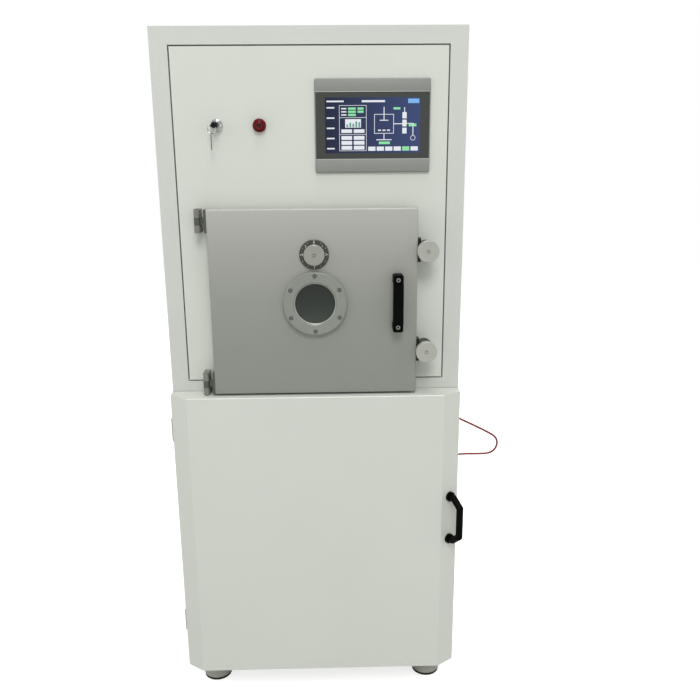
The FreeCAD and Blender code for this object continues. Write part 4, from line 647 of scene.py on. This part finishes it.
TICKS = 12
TICK_STEP = math.tau / TICKS
LONG_TICK = (0.0006, 0.0036)
SHORT_TICK = (0.0004, 0.0022)
TICK_RING = 0.0305
NUMERAL = 0.0078
NUMERAL_RING = 0.0283
NUMERALS = ((0, "0"), (1.5, "1"), (3, "2"), (6, "3"), (9, "4"), (10.5, "5"))
ENGRAVED = 0.0001
dial = front_middle("shutter_dial")
marks = []
for step in range(TICKS):
    half, reach = SHORT_TICK if step % 3 else LONG_TICK
    tick = slab("tick", (-half, -ENGRAVED, 0), (half, 0, reach))
    tick.data.transform(Matrix.Translation(dial) @ Matrix.Rotation(step * TICK_STEP, 4, "Y")
                        @ Matrix.Translation((0, 0, TICK_RING)))
    marks.append(tick)
for step, numeral in NUMERALS:
    angle = step * TICK_STEP
    bpy.ops.object.select_all(action="DESELECT")
    bpy.ops.object.text_add(rotation=(math.pi / 2, 0, 0))
    figure = bpy.context.object
    figure.data.body = numeral
    figure.data.size = NUMERAL
    figure.data.extrude = ENGRAVED / 2
    figure.data.align_x = "CENTER"
    figure.data.align_y = "CENTER"
    figure.location = (dial.x + NUMERAL_RING * math.sin(angle), dial.y - ENGRAVED / 2,
                       dial.z + NUMERAL_RING * math.cos(angle))
    bpy.ops.object.convert(target="MESH")
    bpy.ops.object.transform_apply(location=True, rotation=True, scale=True)
    marks.append(bpy.context.object)
fit(merged("shutter_dial_marks", marks), engraving, "chamber_door")


# Pull handle and hinges. The handle is black glass-filled nylon; the hinges are cast zinc blocks,
# chromated grey and worn, with a worn black leaf between them; the clamp brackets are blackened steel.
black_nylon = grained("black_glass_filled_nylon", ("#030403", "#060706"), patch=15, grain=0.9,
                      depth=0.008, roughness=0.45, Specular_IOR_Level=0.06)
paint(black_nylon, "door_handle", "lower_door_handle", "side_fitting", "air_fittings")
cast_zinc = grained("worn_chromated_zinc", ("#A5A79E", "#4C4E48"), patch=3.0, grain=1.4, depth=0.03,
                    roughness=0.42, metallic=0.25)
paint(cast_zinc, "door_hinge_brackets")
blackened = grained("blackened_steel", ("#34362F", "#272924"), patch=12, grain=1.2, depth=0.01,
                    roughness=0.36, metallic=0.6)
paint(blackened, "clamp_brackets")
worn_leaf = grained("worn_blackened_leaf", ("#66685F", "#4A4C45"), patch=5, grain=1.2, depth=0.01,
                    roughness=0.4, metallic=0.3)
paint(worn_leaf, "door_hinge_leaves")

PULL_SCREW_X = 0.203
PULL_SCREW_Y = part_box("door_screws")[0].y
PULL_SCREW_SPAN = 0.116
SOCKET_RADIUS = 0.0025
SOCKET_DEPTH = 0.0004
# Black discs on the handle's screw heads are painted shade in their hexagon sockets.
pull = front_middle("door_handle")
sockets = [turned_disc("socket", Vector((PULL_SCREW_X, PULL_SCREW_Y, pull.z + side * PULL_SCREW_SPAN)),
                       SOCKET_RADIUS, SOCKET_DEPTH) for side in (-0.5, 0.5)]
fit(merged("handle_screw_socket_shades", sockets), black_nylon, "chamber_door")


# Lower door's top fold. The sheet turns over at the top with a small radius, and that round edge
# catches the light from above as a bright line; its coat is painted a lighter white than the door's, a
# painted highlight.
FOLD_RADIUS = 0.0016
FOLD_SUNK = 0.7 * FOLD_RADIUS
CHAMFER_WIDTH = 0.0440
lower_low, lower_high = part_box("lower_door")
fold_middle = Vector((0, lower_low.y + FOLD_SUNK, lower_high.z - FOLD_SUNK))
fold_length = lower_high.x - lower_low.x - 2 * CHAMFER_WIDTH
fold = turned_disc("lower_door_top_fold", fold_middle, FOLD_RADIUS, fold_length, axis=(1, 0, 0))
# Painted highlight: the fold's white is lighter than the door's coat.
fold_painted_highlight = principled("painted_highlight_white_coat", "#E9EBE5", roughness=0.25)[0]
fit(fold, fold_painted_highlight, "lower_door")


# Supply fronts. Each supply has a grey front plate with a dark display, two knobs, air slots and a
# small lamp, as such units commonly have: the photograph shows none of them.
SUPPLIES = 3
FOOT = 0.007
PLATE = 0.0015
PLATE_SUNK = 0.0002
PLATE_ROUND = 0.0006
PRINTED = PLATE / 2
DISPLAY_FROM, DISPLAY_TO = 0.10, 0.38
DISPLAY_HALF = 0.018
DISPLAY_ROUND = 0.0005
KNOB_SHARES = (0.50, 0.62)
KNOB_RADIUS, KNOB_DEPTH, KNOB_ROUND = 0.011, 0.017, 0.0015
KNOB_AWAY = 0.009
SLOTS = 5
SLOT_FROM, SLOT_TO = 0.74, 0.92
SLOT_PITCH = 0.009
SLOT_HALF = 0.0015
SLOT_PROUD = 1.1 * PLATE
LAMP_SHARE = 0.44
LAMP_UP = 0.012
LAMP_RADIUS, LAMP_DEPTH, LAMP_ROUND = 0.002, 0.003, 0.0005
LAMP_AWAY = 0.002
supply_low, supply_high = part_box("power_supplies")
left, front = supply_low.x, supply_low.y
width = supply_high.x - left
pitch = (supply_high.z - supply_low.z) / SUPPLIES
plates, displays, knobs, lamps = [], [], [], []
for unit in range(SUPPLIES):
    foot = supply_low.z + unit * pitch + FOOT
    top = supply_low.z + (unit + 1) * pitch
    middle = (foot + top) / 2
    plates.append(slab("plate", (left, front - PLATE, foot), (left + width, front + PLATE_SUNK, top),
                       PLATE_ROUND))
    displays.append(slab("display",
                         (left + DISPLAY_FROM * width, front - 2 * PLATE, middle - DISPLAY_HALF),
                         (left + DISPLAY_TO * width, front - PRINTED, middle + DISPLAY_HALF),
                         DISPLAY_ROUND))
    for share in KNOB_SHARES:
        knobs.append(turned_disc("knob", Vector((left + share * width, front - KNOB_AWAY, middle)),
                                 KNOB_RADIUS, KNOB_DEPTH, KNOB_ROUND))
    for slot in range(SLOTS):
        z = middle + (slot - (SLOTS - 1) / 2) * SLOT_PITCH
        displays.append(slab("slot", (left + SLOT_FROM * width, front - SLOT_PROUD, z - SLOT_HALF),
                             (left + SLOT_TO * width, front - PRINTED, z + SLOT_HALF)))
    lamp_at = Vector((left + LAMP_SHARE * width, front - LAMP_AWAY, middle + LAMP_UP))
    lamps.append(turned_disc("lamp", lamp_at, LAMP_RADIUS, LAMP_DEPTH, LAMP_ROUND))
plate_grey = grained("dark_grey_front_plate", ("#4A4D50", "#424548"), patch=40, grain=1.2, depth=0.01,
                     roughness=0.42, metallic=0.3)
lamp_green = lit("lit_green_lamp", "#59E07A", 0.9)
fit(merged("supply_front_plates", plates), plate_grey, "cabinet")
fit(merged("supply_displays_and_slots", displays), film_black, "cabinet")
fit(merged("supply_knobs", knobs), clear_anodised, "cabinet")
fit(merged("supply_lamps", lamps), lamp_green, "cabinet")


# Small screws. Zinc-plated button heads with a hexagon socket: along the rear panels' edges, and in
# the hinge leaves and clamp plates at the edges of the chamber door.
def screw_head(radius, height):
    """One screw head that stands on the origin and points up, with its hexagon socket."""
    bpy.ops.object.select_all(action="DESELECT")
    bpy.ops.mesh.primitive_cylinder_add(vertices=24, radius=radius, depth=height,
                                        location=(0, 0, height / 2))
    head = bpy.context.object
    bpy.ops.object.transform_apply(location=True, rotation=True, scale=True)
    round_edges(head, height / 4, 2)
    bpy.ops.object.select_all(action="DESELECT")
    bpy.ops.mesh.primitive_cylinder_add(vertices=6, radius=radius / 2, depth=height,
                                        location=(0, 0, height))
    key = bpy.context.object
    bpy.ops.object.select_all(action="DESELECT")
    head.select_set(True)
    bpy.context.view_layer.objects.active = head
    socket = head.modifiers.new("socket", "BOOLEAN")
    socket.operation = "DIFFERENCE"
    socket.object = key
    bpy.ops.object.modifier_apply(modifier="socket")
    bpy.data.objects.remove(key)
    bpy.ops.object.shade_smooth_by_angle(angle=SMOOTH)
    return head


def screws(name, places, axis, size, body):
    """A screw head at each place, all pointing one way, as one object; size is radius and height."""
    first = screw_head(*size)
    copies = []
    for place in places:
        head = first.copy()
        head.data = first.data.copy()
        set_down(head, place, axis)
        bpy.context.scene.collection.objects.link(head)
        copies.append(head)
    bpy.data.objects.remove(first)
    fit(merged(name, copies), zinc, body)


PANEL_SCREW = (0.0038, 0.0022)
DOOR_SCREW = (0.0032, 0.0016)
LOUVRE_DEPTH = 0.008
EDGE_IN = 0.012
SCREW_ROWS = 6
for tier in ("upper", "lower"):
    low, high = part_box(tier + "_rear_panel")
    face = high.y - LOUVRE_DEPTH
    places = []
    for row in range(SCREW_ROWS):
        z = low.z + EDGE_IN + row * (high.z - low.z - 2 * EDGE_IN) / (SCREW_ROWS - 1)
        places += [(low.x + EDGE_IN, face, z), (high.x - EDGE_IN, face, z)]
    for x in (low.x / 3, high.x / 3):
        places += [(x, face, low.z + EDGE_IN), (x, face, high.z - EDGE_IN)]
    screws(tier + "_rear_panel_screws", places, (0, 1, 0), PANEL_SCREW, "cabinet")

door_middle_y = (plate_low.y + plate_high.y) / 2
LEAF_X = plate_low.x - 0.006
LEAF_FEET = (plate_high.z - 0.055, plate_low.z - 0.0035)
LEAF_SCREWS_UP = (0.0083, 0.0467)
places = [(LEAF_X, door_middle_y, foot + rise) for foot in LEAF_FEET for rise in LEAF_SCREWS_UP]
screws("hinge_leaf_screws", places, (-1, 0, 0), DOOR_SCREW, "chamber_door")

CLAMP_PLATE_X = plate_high.x + 0.008
CLAMP_SCREW_UP = 0.0228
places = [(CLAMP_PLATE_X, door_middle_y, front_middle(knob).z + rise)
          for knob in ("upper_clamp_knob", "lower_clamp_knob")
          for rise in (-CLAMP_SCREW_UP, CLAMP_SCREW_UP)]
screws("clamp_plate_screws", places, (1, 0, 0), DOOR_SCREW, "chamber_door")
